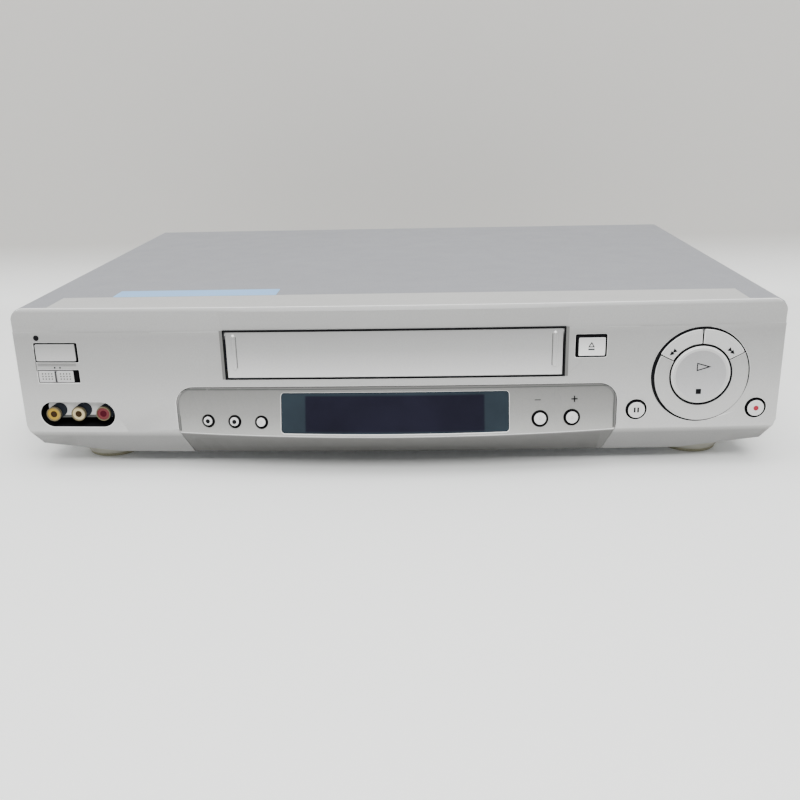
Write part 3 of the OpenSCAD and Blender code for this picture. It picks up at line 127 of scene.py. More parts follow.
class Finish:
    """Builds one node material: a base colour broken by clouds and a fine grain."""

    def __init__(self, name, rough, metal=0.0, ior=1.45, gloss=0.5):
        self.material = bpy.data.materials.new(name)
        self.material.use_nodes = True
        self.nodes = self.material.node_tree.nodes
        self.links = self.material.node_tree.links
        self.shader = self.nodes["Principled BSDF"]
        for socket, value in (("Roughness", rough), ("Metallic", metal), ("IOR", ior),
                              ("Specular IOR Level", gloss)):
            self.shader.inputs[socket].default_value = value
        self.place = self.nodes.new("ShaderNodeTexCoord").outputs["Object"]

    def feed(self, socket, value):
        """Gives a socket a fixed value, or joins it to another node's output."""
        if isinstance(value, bpy.types.NodeSocket):
            self.links.new(value, socket)
        else:
            socket.default_value = value

    def axes(self):
        """The x, y and z of a place, as three values."""
        node = self.nodes.new("ShaderNodeSeparateXYZ")
        self.links.new(self.place, node.inputs[0])
        return node.outputs

    def stretched(self, scale):
        node = self.nodes.new("ShaderNodeMapping")
        node.inputs["Scale"].default_value = scale
        self.links.new(self.place, node.inputs["Vector"])
        return node.outputs["Vector"]

    def noise(self, scale, detail, place=None):
        node = self.nodes.new("ShaderNodeTexNoise")
        node.inputs["Scale"].default_value = scale
        node.inputs["Detail"].default_value = detail
        self.links.new(place or self.place, node.inputs["Vector"])
        return node.outputs["Fac"]

    def ranged(self, value, low, high, from_low=0.25, from_high=0.75):
        node = self.nodes.new("ShaderNodeMapRange")
        for socket, number in (("From Min", from_low), ("From Max", from_high),
                               ("To Min", low), ("To Max", high)):
            node.inputs[socket].default_value = number
        self.links.new(value, node.inputs["Value"])
        return node.outputs["Result"]

    def uneven(self, scale, detail, low, high):
        """A value that wanders from low to high with a noise."""
        return self.ranged(self.noise(scale, detail), low, high)

    def mixed(self, factor, first, second):
        node = self.nodes.new("ShaderNodeMix")
        node.data_type = "RGBA"
        self.links.new(factor, node.inputs[0])
        for socket, value in ((node.inputs[6], first), (node.inputs[7], second)):
            self.feed(socket, (*value, 1) if isinstance(value, tuple) else value)
        return node.outputs[2]

    def reckoned(self, operation, *values):
        node = self.nodes.new("ShaderNodeMath")
        node.operation = operation
        for socket, value in zip(node.inputs, values):
            self.feed(socket, value)
        return node.outputs[0]

    def times(self, first, second):
        return self.reckoned("MULTIPLY", first, second)

    def shaded(self, colour, by):
        """The colour made lighter or darker by a value round 1."""
        node = self.nodes.new("ShaderNodeVectorMath")
        node.operation = "SCALE"
        self.feed(node.inputs[0], colour)
        self.links.new(by, node.inputs["Scale"])
        return node.outputs[0]

    def graded(self, stops):
        """A value that follows the height: stops are pairs of height in millimetres and value."""
        ramp = self.nodes.new("ShaderNodeValToRGB")
        self.links.new(self.ranged(self.axes()[2], 0, 1, 0, GRADE_SPAN * MM), ramp.inputs[0])
        while len(ramp.color_ramp.elements) < len(stops):
            ramp.color_ramp.elements.new(0.5)
        for element, (height, value) in zip(ramp.color_ramp.elements, stops):
            element.position = height / GRADE_SPAN
            element.color = (value, value, value, 1)
        return ramp.outputs[0]

    def colour(self, value):
        self.links.new(value, self.shader.inputs["Base Color"])

    def rough(self, value):
        self.links.new(value, self.shader.inputs["Roughness"])

    def bump(self, value, strength, depth):
        node = self.nodes.new("ShaderNodeBump")
        node.inputs["Strength"].default_value = strength
        node.inputs["Distance"].default_value = depth
        self.links.new(value, node.inputs["Height"])
        self.links.new(node.outputs["Normal"], self.shader.inputs["Normal"])


def painted(name, colour, rough=0.42, fleck=0.05, grain=1500, bump=0.06, metal=0.0,
            grain_bump=1.0, height_shading=None, gloss=0.5):
    """Sprayed paint: metal flecks, a faint orange peel and uneven gloss. Given stops of height and
    value, the colour is lighter or darker with the height: painted light and shade."""
    f = Finish(name, rough, metal, gloss=gloss)
    grains = f.noise(grain, 3)
    light = f.times(f.ranged(grains, 1 - fleck, 1 + fleck), f.uneven(7, 4, 0.975, 1.025))
    if height_shading:
        light = f.times(light, f.graded(height_shading))
    f.colour(f.shaded(colour, light))
    f.rough(f.uneven(60, 4, rough - 0.05, rough + 0.05))
    f.bump(grains, bump, 0.00002 * grain_bump)
    return f.material


def moulded(name, colour, rough, gloss=0.5):
    """Coloured plastic as it leaves the mould."""
    f = Finish(name, rough, gloss=gloss)
    grains = f.noise(900, 2)
    light = f.times(f.ranged(grains, 0.97, 1.03), f.uneven(12, 3, 0.96, 1.04))
    f.colour(f.shaded(colour, light))
    f.rough(f.uneven(90, 3, rough - 0.07, rough + 0.07))
    f.bump(grains, 0.1, 0.00004)
    return f.material


def brushed(name, colour, rough, along=(12, 900, 900), metal=1.0, streak=0.08):
    """Rolled or turned metal with streaks along one way."""
    f = Finish(name, rough, metal)
    streaks = f.noise(1, 4, f.stretched(along))
    light = f.times(f.ranged(streaks, 1 - streak, 1 + streak), f.uneven(9, 4, 0.93, 1.05))
    f.colour(f.shaded(colour, light))
    f.rough(f.ranged(streaks, rough - 0.08, rough + 0.1))
    f.bump(streaks, 0.12, 0.00003)
    return f.material


def rubbery(name, colour):
    """Soft rubber with a coarse, matt grain."""
    f = Finish(name, 0.75)
    grains = f.noise(700, 3)
    light = f.times(f.ranged(grains, 0.9, 1.1), f.uneven(30, 4, 0.9, 1.1))
    f.colour(f.shaded(colour, light))
    f.rough(f.uneven(120, 3, 0.68, 0.85))
    f.bump(grains, 0.3, 0.00006)
    return f.material


def board_lacquer(name, colour, track):
    """Lacquered board with a paler maze of tracks under its surface."""
    f = Finish(name, 0.35)
    cells = f.nodes.new("ShaderNodeTexVoronoi")
    cells.distance = "CHEBYCHEV"
    cells.feature = "F1"
    cells.inputs["Scale"].default_value = 380
    f.links.new(f.place, cells.inputs["Vector"])
    maze = f.ranged(cells.outputs["Distance"], 0, 1, 0.42, 0.46)
    f.colour(f.shaded(f.mixed(maze, colour, track), f.uneven(25, 4, 0.9, 1.08)))
    f.rough(f.ranged(maze, 0.3, 0.45))
    f.bump(maze, 0.2, 0.00003)
    return f.material


def smoked(name):
    """Smoked glass: teal grey ends and a near black middle field, where the display lies."""
    f = Finish(name, 0.16, ior=1.49, gloss=0.16)
    x, _, z = f.axes()

    def inside(value, centre, half):
        away = f.reckoned("ABSOLUTE", f.reckoned("SUBTRACT", value, centre * MM))
        return f.ranged(away, 1, 0, (half - 0.6) * MM, (half + 0.4) * MM)

    field = f.times(inside(x, 0, FIELD_HALF_W), inside(z, FIELD_Z, FIELD_HALF_H))
    glass = f.mixed(field, (0.021, 0.031, 0.040), (0.009, 0.009, 0.018))
    f.colour(f.shaded(glass, f.uneven(30, 4, 0.75, 1.25)))
    f.rough(f.uneven(70, 3, 0.12, 0.2))
    f.bump(f.noise(15, 2), 0.02, 0.0002)
    return f.material


def ink(name, colour):
    """Printed ink, matt, with tiny breaks in its body."""
    f = Finish(name, 0.6, gloss=0.08)
    f.colour(f.shaded(colour, f.uneven(2500, 2, 0.85, 1.2)))
    f.rough(f.uneven(900, 2, 0.5, 0.7))
    return f.material


# The height stops paint light and shade: much darker under 25 mm, where the lower fold faces down
# (painted shade), lighter low on the face and darker towards the top, and lighter again at the top
# edge (painted highlight).
SILVER = painted("silver_paint", (0.56, 0.56, 0.55), gloss=0.3, height_shading=[
    (8, 0.46), (21, 0.49), (25, 0.97), (45, 0.88), (60, 0.72), (81, 0.58), (84.5, 0.63),
    (95, 0.65), (96.9, 0.79)])
# The height stops paint light and shade: much darker under the ridge (painted shade), lighter near
# the ridge and darker towards the top.
PANEL_GREY = painted("warm_grey_paint", (0.43, 0.43, 0.415), rough=0.45, gloss=0.3, height_shading=[
    (8, 0.34), (23, 0.36), (25, 0.93), (36, 0.64), (51, 0.42)])
# The height stops paint light and shade: much lighter along the door's lower edge (painted
# highlight) and darker towards the top.
DOOR_SILVER = painted("door_paint", (0.52, 0.52, 0.515), rough=0.4, gloss=0.3, height_shading=[
    (57, 1.35), (59, 1.18), (72, 0.76), (84, 0.57)])
BUTTON_SILVER = painted("button_paint", (0.53, 0.53, 0.525), rough=0.36, gloss=0.35)
# The power and eject caps are lit and shaded copies of one paint: the power cap is painted darker
# and the eject cap lighter, and both turn darker towards the top by their height stops.
POWER_SHADED_SILVER = painted("power_paint_shaded", (0.57, 0.57, 0.565), rough=0.36, gloss=0.35,
                      height_shading=[(66, 0.92), (70, 0.8), (78, 0.56)])
EJECT_LIT_SILVER = painted("eject_paint_lit", (0.62, 0.62, 0.615), rough=0.36, gloss=0.35,
                       height_shading=[(66, 1.4), (70, 1.28), (78, 0.86)])
PALE_SILVER = painted("pale_paint", (0.69, 0.69, 0.68), rough=0.36, gloss=0.35)
# The height stops paint shade: the hollow turns darker towards its top.
DISH_SILVER = painted("dish_paint", (0.53, 0.53, 0.535), rough=0.3, gloss=0.4,
                      height_shading=[(41, 0.98), (55, 0.77), (70, 0.66)])
# Dark grey for thin bars of painted shade: the step round the panel, beside the door's ribs and
# along the jack pocket's lip.
STEP_SHADE = painted("painted_step_shade", (0.08, 0.083, 0.08), rough=0.45, gloss=0.3)
# Dark grey for bars of painted shade on the leaning sides of the cassette opening and round the
# centre panel.
REVEAL_SHADE = painted("painted_reveal_shade", (0.15, 0.15, 0.145), rough=0.45, gloss=0.3)
# Near black for painted shade: the walls of gaps and openings, grooves and seams.
GAP_SHADE = moulded("painted_gap_shade", (0.005, 0.005, 0.006), rough=0.8, gloss=0.1)
# A pale colour for rounded edges: a painted highlight.
EDGE_GLINT = painted("painted_edge_glint", (0.84, 0.84, 0.83), rough=0.3)
LID_GREY = painted("lid_paint", (0.266, 0.271, 0.29), rough=0.5, fleck=0.07, grain=1100,
                   bump=0.2, grain_bump=2.0, gloss=0.1)
SMOKED = smoked("smoked_lens")
BLACK_GLOSS = moulded("black_moulding", (0.02, 0.02, 0.022), rough=0.3)
BLACK_MATT = moulded("dark_moulding", (0.03, 0.03, 0.033), rough=0.55)
YELLOW = moulded("yellow_moulding", (0.42, 0.27, 0.035), rough=0.42, gloss=0.2)
WHITE = moulded("white_moulding", (0.6, 0.5, 0.28), rough=0.42, gloss=0.2)
RED = moulded("red_moulding", (0.15, 0.028, 0.033), rough=0.42, gloss=0.2)
SHELL_GOLD = painted("shell_plate", (0.17, 0.145, 0.085), rough=0.35, metal=0.3, gloss=0.2)
# Painted shade in the mouths of the jacks' bores.
BORE_SHADE = moulded("painted_bore_shade", (0.035, 0.018, 0.006), rough=0.5, gloss=0.1)
RED_BORE_SHADE = moulded("painted_red_bore_shade", (0.06, 0.003, 0.01), rough=0.5, gloss=0.1)
NAVY = moulded("navy_moulding", (0.007, 0.010, 0.016), rough=0.5, gloss=0.15)
POLISHED = brushed("polished_dots", (0.95, 0.95, 0.94), rough=0.2, along=(300, 300, 300),
                   metal=0.2)
NICKEL = brushed("nickel_plate", (0.72, 0.68, 0.58), rough=0.22, along=(300, 300, 300),
                 streak=0.04)
ZINC = brushed("zinc_plate", (0.62, 0.63, 0.65), rough=0.38)
STEEL = brushed("plated_steel", (0.66, 0.67, 0.69), rough=0.34)
GROUND_STEEL = brushed("ground_steel", (0.7, 0.71, 0.73), rough=0.2, along=(900, 900, 20))
TURNED = brushed("turned_aluminium", (0.8, 0.8, 0.81), rough=0.22, along=(40, 40, 1600))
ALUMINIUM = brushed("rolled_aluminium", (0.72, 0.73, 0.75), rough=0.36)
REAR_PAINT = painted("rear_paint", (0.035, 0.035, 0.04), rough=0.5, fleck=0.2, bump=0.3)
SCREW_DARK = brushed("dark_plate", (0.12, 0.12, 0.13), rough=0.4, along=(200, 200, 200))
FOOT_GREY = moulded("foot_moulding", (0.42, 0.41, 0.35), rough=0.55)
PAD_CREAM = rubbery("pad_rubber", (0.30, 0.285, 0.20))
ROLLER_RUBBER = rubbery("roller_rubber", (0.03, 0.03, 0.03))
ACETAL = moulded("acetal", (0.78, 0.76, 0.68), rough=0.4)
BROWN_BOARD = board_lacquer("brown_board", (0.25, 0.16, 0.07), (0.36, 0.25, 0.12))
DARK_BOARD = board_lacquer("dark_board", (0.02, 0.014, 0.009), (0.03, 0.022, 0.014))
GREEN_BOARD = board_lacquer("green_board", (0.02, 0.12, 0.045), (0.05, 0.2, 0.08))
WINDING_TAPE = moulded("winding_tape", (0.32, 0.22, 0.08), rough=0.5)
SLEEVE = moulded("capacitor_sleeve", (0.03, 0.035, 0.11), rough=0.3)
TUBE_GLASS = smoked("tube_glass")
REEL_BLACK = moulded("reel_moulding", (0.04, 0.04, 0.042), rough=0.45)
BLACK_INK = ink("black_ink", (0.006, 0.006, 0.007))
GREY_INK = ink("grey_ink", (0.08, 0.08, 0.08))
RED_INK = ink("red_ink", (0.33, 0.03, 0.05))
BLUE_FILM = painted("blue_film", (0.26, 0.46, 0.74), rough=0.4, fleck=0.02, bump=0.02,
                    gloss=0.15)


# Making pieces ----------------------------------------------------------------------------------
SHARP_ANGLE = 30
MERGE_REACH = 2e-6
FLAT_ANGLE = 0.04


def carried(name, mesh, body, edge, angle=SHARP_ANGLE, worn=-1, chosen=False):
    """Makes a mesh an object that rides on a body, its edges rounded by edge millimetres. The
    argument after angle is the material index of the rounding, a painted highlight. With chosen,
    only edges with a weight are rounded."""
    mesh.shade_smooth()
    mesh.set_sharp_from_angle(angle=radians(angle))
    piece = bpy.data.objects.new(name, mesh)
    scene.collection.objects.link(piece)
    if edge:
        bevel = piece.modifiers.new("edges", "BEVEL")
        bevel.width = edge * MM
        bevel.segments = 2
        bevel.limit_method = "WEIGHT" if chosen else "ANGLE"
        bevel.angle_limit = radians(angle)
        bevel.use_clamp_overlap = False
        bevel.material = worn
    even = piece.modifiers.new("even_shading", "WEIGHTED_NORMAL")
    even.keep_sharp = True
    even.weight = 100
    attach(piece, body)
    return piece


def finished(name, bm, material, body, slot, edge=0.0, angle=SHARP_ANGLE, worn=None):
    """A new object from a bmesh in millimetres, with its place in its mesh. Its rounded edges can
    carry a painted highlight in a material of their own."""
    bmesh.ops.scale(bm, vec=(MM, MM, MM), verts=bm.verts)
    mesh = bpy.data.meshes.new(name)
    bm.to_mesh(mesh)
    bm.free()
    mesh.materials.append(material)
    if worn:
        mesh.materials.append(worn)
    return carried(name, mesh, body, edge, angle, 1 if worn else -1)


def dressed(node, material, edge=0.2, in_shade=None, worn=None, crisp=None):
    """A copy of a CAD node with its convex edges rounded. Faces that the given test picks out turn
    near black: painted shade on the walls of gaps and openings. The rounded edges can carry a
    painted highlight in a material of their own. Edges for which crisp is true aren't rounded."""
    source = frame["nodes"][node]
    bm = bmesh.new()
    bm.from_mesh(source.data)
    bmesh.ops.remove_doubles(bm, verts=bm.verts, dist=MERGE_REACH)
    bmesh.ops.dissolve_limit(bm, angle_limit=radians(FLAT_ANGLE), verts=bm.verts, edges=bm.edges)
    rounded = bm.edges.layers.float.new("bevel_weight_edge")
    for line in bm.edges:
        middle = (line.verts[0].co + line.verts[1].co) / (2 * MM)
        turns = len(line.link_faces) == 2 and line.calc_face_angle() > radians(SHARP_ANGLE)
        line[rounded] = turns and line.is_convex and not (crisp and crisp(middle))
    mesh = bpy.data.meshes.new(node + "_dressed")
    for finish in (material, GAP_SHADE, worn or material):
        mesh.materials.append(finish)
    for face in bm.faces:
        face.material_index = bool(in_shade) and in_shade(face.calc_center_median() / MM)
    bm.to_mesh(mesh)
    bm.free()
    piece = carried(node + "_dressed", mesh, source["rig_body"], edge,
                    worn=2 if worn else -1, chosen=True)
    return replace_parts(piece, node)


def plain(nodes, material):
    """Keeps CAD nodes as they are, in a better finish."""
    for node in nodes.split():
        mesh = frame["nodes"][node].data
        mesh.materials.clear()
        mesh.materials.append(material)


def fitted(name, bm, matrix, material, node, **more):
    """A piece that rides on a moving node, placed by a matrix."""
    return finished(name, set_on(bm, matrix), material, node + "_body", node, **more)


def case_piece(name, bm, material, slot="front_bezel"):
    """A piece that stays with the case."""
    return finished(name, bm, material, "case", slot)


# Shapes in millimetres. The flat ones lie in the XY plane until they are turned to the front ----
LINE_T = 0.08
SLICE_STEP = 6
FEEL_FROM, FEEL_REACH = -0.3, 0.5


def only(kind, made):
    """The items of one kind among those that an operator made."""
    return [item for item in made if isinstance(item, kind)]


def flat_disc(r, sides):
    bm = bmesh.new()
    bmesh.ops.create_circle(bm, segments=sides, radius=r, cap_ends=True)
    return bm


def flat_plate(w, h, r):
    """A flat plate with rounded corners."""
    bm = bmesh.new()
    bmesh.ops.create_grid(bm, x_segments=1, y_segments=1, size=0.5)
    bmesh.ops.scale(bm, vec=(w, h, 1), verts=bm.verts)
    corners = [v for v in bm.verts if abs(abs(v.co.x) - w / 2) < TINY]
    bmesh.ops.bevel(bm, geom=corners, offset=r, segments=6, profile=0.5, affect="VERTICES",
                    material=-1)
    return bm


def rim_only(bm, width):
    """Leaves only a rim of one width along the outline of a flat shape."""
    rim = set(bmesh.ops.inset_region(bm, faces=bm.faces[:], thickness=width, use_boundary=True,
                                     use_even_offset=True)["faces"])
    bmesh.ops.delete(bm, geom=[f for f in bm.faces if f not in rim], context="FACES")


def cut(bm, point, way, **clear):
    """Cuts a shape along a plane. clear_inner or clear_outer takes one side away."""
    bmesh.ops.bisect_plane(bm, geom=bm.verts[:] + bm.edges[:] + bm.faces[:], plane_co=point,
                           plane_no=way, **clear)


def sliced(bm, reach):
    """Cuts a wide shape across, so that it can be bent."""
    for i in range(-int(reach / SLICE_STEP), int(reach / SLICE_STEP) + 1):
        cut(bm, (i * SLICE_STEP, 0, 0), (1, 0, 0))
    return bm


def raised(bm, t):
    """Adds a copy of a flat shape at the height t, and the walls between the two."""
    made = bmesh.ops.extrude_face_region(bm, geom=bm.faces[:])["geom"]
    bmesh.ops.translate(bm, vec=(0, 0, t), verts=only(bmesh.types.BMVert, made))


def outward(bm):
    bmesh.ops.recalc_face_normals(bm, faces=bm.faces)
    return bm


def to_front(bm):
    """Turns a shape from the XY plane to face the front."""
    bmesh.ops.rotate(bm, verts=bm.verts, matrix=Matrix.Rotation(pi / 2, 3, "X"))
    return bm


def thick(bm, t):
    """Gives a flat shape a thickness, half of it on each side, and turns it to the front."""
    raised(bm, t)
    bmesh.ops.translate(bm, vec=(0, 0, -t / 2), verts=bm.verts)
    return outward(to_front(bm))


def capped(bm, t, rounding, dome=0.0):
    """Makes a flat shape a cap that faces the front, with rounded front edges and maybe a dome."""
    raised(bm, t)
    outward(bm)
    rim = [e for e in bm.edges if all(v.co.z > t - TINY for v in e.verts)]
    bmesh.ops.bevel(bm, geom=rim, offset=rounding, segments=3, profile=0.5, affect="EDGES",
                    material=-1)
    if dome:
        top = [f for f in bm.faces if all(v.co.z > t - TINY for v in f.verts)]
        shares = (0.25, 0.35, 0.5)
        for share in shares:
            reach = max(v.co.length for v in top[0].verts)
            bmesh.ops.inset_region(bm, faces=top, thickness=reach * share,
                                   depth=dome / len(shares))
    return to_front(bm)


def disc(r, t=LINE_T, sides=48):
    """A thin disc that faces the front."""
    bm = bmesh.new()
    bmesh.ops.create_cone(bm, cap_ends=True, segments=sides, radius1=r, radius2=r, depth=t)
    return to_front(bm)


def bar(w, h, t=LINE_T, x=0.0, z=0.0, turn=0.0, bm=None):
    """A thin bar that faces the front, added to bm."""
    bm = bm or bmesh.new()
    made = bmesh.ops.create_cube(bm, size=1)["verts"]
    bmesh.ops.scale(bm, vec=(w, t, h), verts=made)
    bmesh.ops.rotate(bm, verts=made, matrix=Matrix.Rotation(turn, 3, "Y"))
    bmesh.ops.translate(bm, vec=(x, 0, z), verts=made)
    return bm


def ring(r_out, r_in, t):
    """A flat ring that faces the front."""
    bm = flat_disc(r_out, 64)
    rim_only(bm, r_out - r_in)
    return thick(bm, t)


def arrow(size, t=LINE_T, x=0.0, z=0.0, turn=0.0, hollow=0.0, stretch=1.0, bm=None):
    """A triangle that points right, solid or an outline, added to bm."""
    part = flat_disc(size, 3)
    bmesh.ops.rotate(part, verts=part.verts, matrix=Matrix.Rotation(-pi / 2, 3, "Z"))
    bmesh.ops.scale(part, vec=(stretch, 1, 1), verts=part.verts)
    if hollow:
        rim_only(part, hollow)
    thick(part, t)
    bmesh.ops.rotate(part, verts=part.verts, matrix=Matrix.Rotation(turn, 3, "Y"))
    return joined(bm, shifted(part, x, z))


def joined(bm, part):
    """Adds a shape to bm, if there is one already."""
    if bm is None:
        return part
    mesh = bpy.data.meshes.new("part")
    part.to_mesh(mesh)
    part.free()
    bm.from_mesh(mesh)
    bpy.data.meshes.remove(mesh)
    return bm


def shifted(bm, x, z):
    bmesh.ops.translate(bm, vec=(x, 0, z), verts=bm.verts)
    return bm


def set_on(bm, matrix):
    bmesh.ops.transform(bm, matrix=matrix, verts=bm.verts)
    return bm


def bowed(x, z):
    """The bowed face as a ground, level beyond its ends and the same at every height z."""
    return face_y(max(min(x, HALF_W), -HALF_W))


def felt(piece, formula):
    """The front surface of a finished piece as a ray meets it, or else the formula."""
    graph = bpy.context.evaluated_depsgraph_get()

    def ground(x, z):
        hit, place, *_ = piece.ray_cast(Vector((x * MM, FEEL_FROM, z * MM)), Vector((0, 1, 0)),
                                        depsgraph=graph)
        y = place.y / MM
        return y if hit and abs(y - formula(x, z)) < FEEL_REACH else formula(x, z)
    return ground


def draped(bm, ground, stand):
    """Bends a shape that faces the front onto a surface of the front."""
    for v in bm.verts:
        v.co.y += ground(v.co.x, v.co.z) - stand
    return bm


# Camera and light, in metres --------------------------------------------------------------------
YAW, PITCH, ROLL = 0.0402, 0.3216, -0.0226
EYE_PLACE = (0.0227, -0.64385, 0.2059)
SENSOR_W, FOCAL_PIXELS, PHOTO_PIXELS = 36, 913.8, 800
FLOOR_HALF_W, FLOOR_FRONT, WALL_Y, WALL_H, COVE_R = 3.5, -2.2, 0.345, 2.2, 0.05
FLOOR_LIT = (0.8, 0.8, 0.79)
FLOOR_FAR, FLOOR_NEAR = (0.93, 0.94, 0.925), (0.98, 0.985, 0.975)
WALL_TONE = (0.545, 0.535, 0.51)


def camera():
    """The camera as it was fitted to the photograph."""
    data = bpy.data.cameras.new("camera")
    data.sensor_width = SENSOR_W
    data.lens = SENSOR_W * FOCAL_PIXELS / PHOTO_PIXELS
    data.clip_start = 0.05
    eye = bpy.data.objects.new("camera", data)
    turn = Matrix.Rotation(YAW, 3, "Z")
    level = turn @ Vector((1, 0, 0))
    upright = turn @ Vector((0, sin(PITCH), cos(PITCH)))
    ahead = turn @ Vector((0, cos(PITCH), -sin(PITCH)))
    across = cos(ROLL) * level + sin(ROLL) * upright
    up = -sin(ROLL) * level + cos(ROLL) * upright
    eye.matrix_world = Matrix.LocRotScale(
        Vector(EYE_PLACE), Matrix((across, up, -ahead)).transposed(), None)
    scene.collection.objects.link(eye)
    scene.camera = eye


def lamp(name, place, target, size, watts):
    data = bpy.data.lights.new(name, "AREA")
    data.shape = "RECTANGLE"
    data.size, data.size_y = size
    data.energy = watts
    light = bpy.data.objects.new(name, data)
    light.location = place
    aim = Vector(target) - Vector(place)
    light.rotation_euler = aim.to_track_quat("-Z", "Y").to_euler()
    scene.collection.objects.link(light)


def lights():
    """Soft light from above and a pale sky."""
    world = bpy.data.worlds.new("world")
    world.use_nodes = True
    sky = world.node_tree.nodes["Background"]
    sky.inputs["Color"].default_value = (0.97, 0.985, 1, 1)
    sky.inputs["Strength"].default_value = 0.6
    scene.world = world
    lamp("overhead", (0.0, -0.3, 1.9), (0, 0, 0), (1.8, 1.4), 36)
    lamp("front", (0.3, -1.55, 1.75), (0, 0, 0.05), (1.5, 0.8), 41)
    lamp("side", (-1.6, -0.6, 1.0), (0, 0, 0.05), (0.9, 0.9), 4)


def sweep():
    """A strip of floor that turns up through a cove into a backdrop, facing the stage."""
    bm = bmesh.new()
    cove_y = WALL_Y - COVE_R
    front = [bm.verts.new((side * FLOOR_HALF_W, FLOOR_FRONT, 0)) for side in (-1, 1)]
    made = bmesh.ops.extrude_edge_only(bm, edges=[bm.edges.new(front)])["geom"]
    bmesh.ops.translate(bm, vec=(0, cove_y - FLOOR_FRONT, 0),
                        verts=only(bmesh.types.BMVert, made))
    foot = [e for e in only(bmesh.types.BMEdge, made)
            if all(abs(v.co.y - cove_y) < TINY for v in e.verts)]
    made = bmesh.ops.spin(bm, geom=foot, cent=(0, cove_y, COVE_R), axis=(1, 0, 0),
                          angle=pi / 2, steps=12)["geom_last"]
    made = bmesh.ops.extrude_edge_only(bm, edges=only(bmesh.types.BMEdge, made))["geom"]
    bmesh.ops.translate(bm, vec=(0, 0, WALL_H), verts=only(bmesh.types.BMVert, made))
    backs = [face for face in bm.faces if face.normal.z < face.normal.y]
    bmesh.ops.reverse_faces(bm, faces=backs)
    mesh = bpy.data.meshes.new("floor")
    bm.to_mesh(mesh)
    bm.free()
    mesh.shade_smooth()
    return mesh


def cloth():
    """Pale cloth, darker up the backdrop. The camera sees the floor paler than its light is, with
    a faint glow near the front, and sees through the backdrop from behind."""
    f = Finish("floor_cloth", 0.9)
    _, depth, height = f.axes()
    rise = f.ranged(height, 0, 1, 0.0, 0.06)
    near = f.ranged(depth, 0, 1, -0.2, -0.5)
    seen = f.nodes.new("ShaderNodeLightPath").outputs["Is Camera Ray"]
    floor = f.mixed(seen, FLOOR_LIT, f.mixed(near, FLOOR_FAR, FLOOR_NEAR))
    f.colour(f.shaded(f.mixed(rise, floor, WALL_TONE), f.uneven(3, 4, 0.985, 1.015)))
    glow = f.times(seen, f.ranged(near, 0, 0.12, 0, 1))
    f.shader.inputs["Emission Color"].default_value = (1, 1, 1, 1)
    f.links.new(glow, f.shader.inputs["Emission Strength"])
    behind = f.nodes.new("ShaderNodeNewGeometry").outputs["Backfacing"]
    clear = f.nodes.new("ShaderNodeMixShader")
    f.links.new(f.times(behind, seen), clear.inputs[0])
    f.links.new(f.shader.outputs[0], clear.inputs[1])
    f.links.new(f.nodes.new("ShaderNodeBsdfTransparent").outputs[0], clear.inputs[2])
    f.links.new(clear.outputs[0], f.nodes["Material Output"].inputs["Surface"])
    return f.material


def studio():
    """The floor and backdrop, which are no part of the product."""
    mesh = sweep()
    mesh.materials.append(cloth())
    floor = bpy.data.objects.new("floor", mesh)
    scene.collection.objects.link(floor)


camera()
lights()
studio()

# The shells, the buttons and what lies inside ---------------------------------------------------
CREASE = (82.3, 85.5)
LEDGE = (90, 96)
KEY_RIM = 2.2
CAP_T, CAP_STAND, CAP_EDGE, CAP_DOME = 0.8, 0.87, 0.4, 0.1
ROUND_CAPS = (("pause_button", 135.7, 35.6, 4.75, on_face),
              ("record_button", 202.5, 35.3, 4.7, on_face),
              ("key_1", -106.6, 32.1, 2.6, on_panel),
              ("key_2", -91.1, 32.1, 2.6, on_panel),
              ("key_3", -75.6, 32.1, 2.6, on_panel),
              ("channel_down_button", 81.4, 32.5, 3.45, on_panel),
              ("channel_up_button", 99.4, 32.5, 3.45, on_panel))


def behind_face(p, depth):
    return p.y - bowed(p.x, p.z) > depth


def behind_segment(p):
    return behind_face(p, 0.3)


def bezel_crisp(p):
    """The bezel's creases and what lies under or behind its front face."""
    on_crease = CREASE[0] < p.z < CREASE[1] or LEDGE[0] < p.z < LEDGE[1]
    return on_crease or p.z < RIDGE_Z + 1.5 or p.y > FRONT_Y + 8


def bezel_in_shade(p):
    """The walls of the bezel's openings, but not its own outer edges. They turn near black:
    painted shade.
    """
    on_back_edge = p.z > TOP_Z - 2.5 or abs(p.x) > HALF_W - 3 or p.z < BASE_Z + 1
    return behind_face(p, 0.9) and p.z > RIDGE_Z + 1 and not on_back_edge


def panel_crisp(p):
    """The panel's outline and ridge, and the rims of its button holes."""
    by_key = any(abs(p.x - x) < r + KEY_RIM and abs(p.z - z) < r + KEY_RIM
                 for _, x, z, r, place in ROUND_CAPS if place is on_panel)
    return p.z < RIDGE_Z - 1 or p.z > PANEL_TOP - 2 or abs(p.x) > PANEL_HW - 2 or by_key


# The walls of the panel's openings, which turn near black: painted shade.
def panel_in_shade(p):
    return p.z > RIDGE_Z + 1 and p.y - panel_y(p.x, p.z) > 0.8


dressed("front_bezel", SILVER, 0.28, in_shade=bezel_in_shade, worn=EDGE_GLINT, crisp=bezel_crisp)
panel = dressed("control_panel", PANEL_GREY, 0.28, in_shade=panel_in_shade, worn=EDGE_GLINT,
                crisp=panel_crisp)
dressed("display_window", SMOKED, 0.12)
dressed("tape_door", DOOR_SILVER, 0.25, worn=EDGE_GLINT)
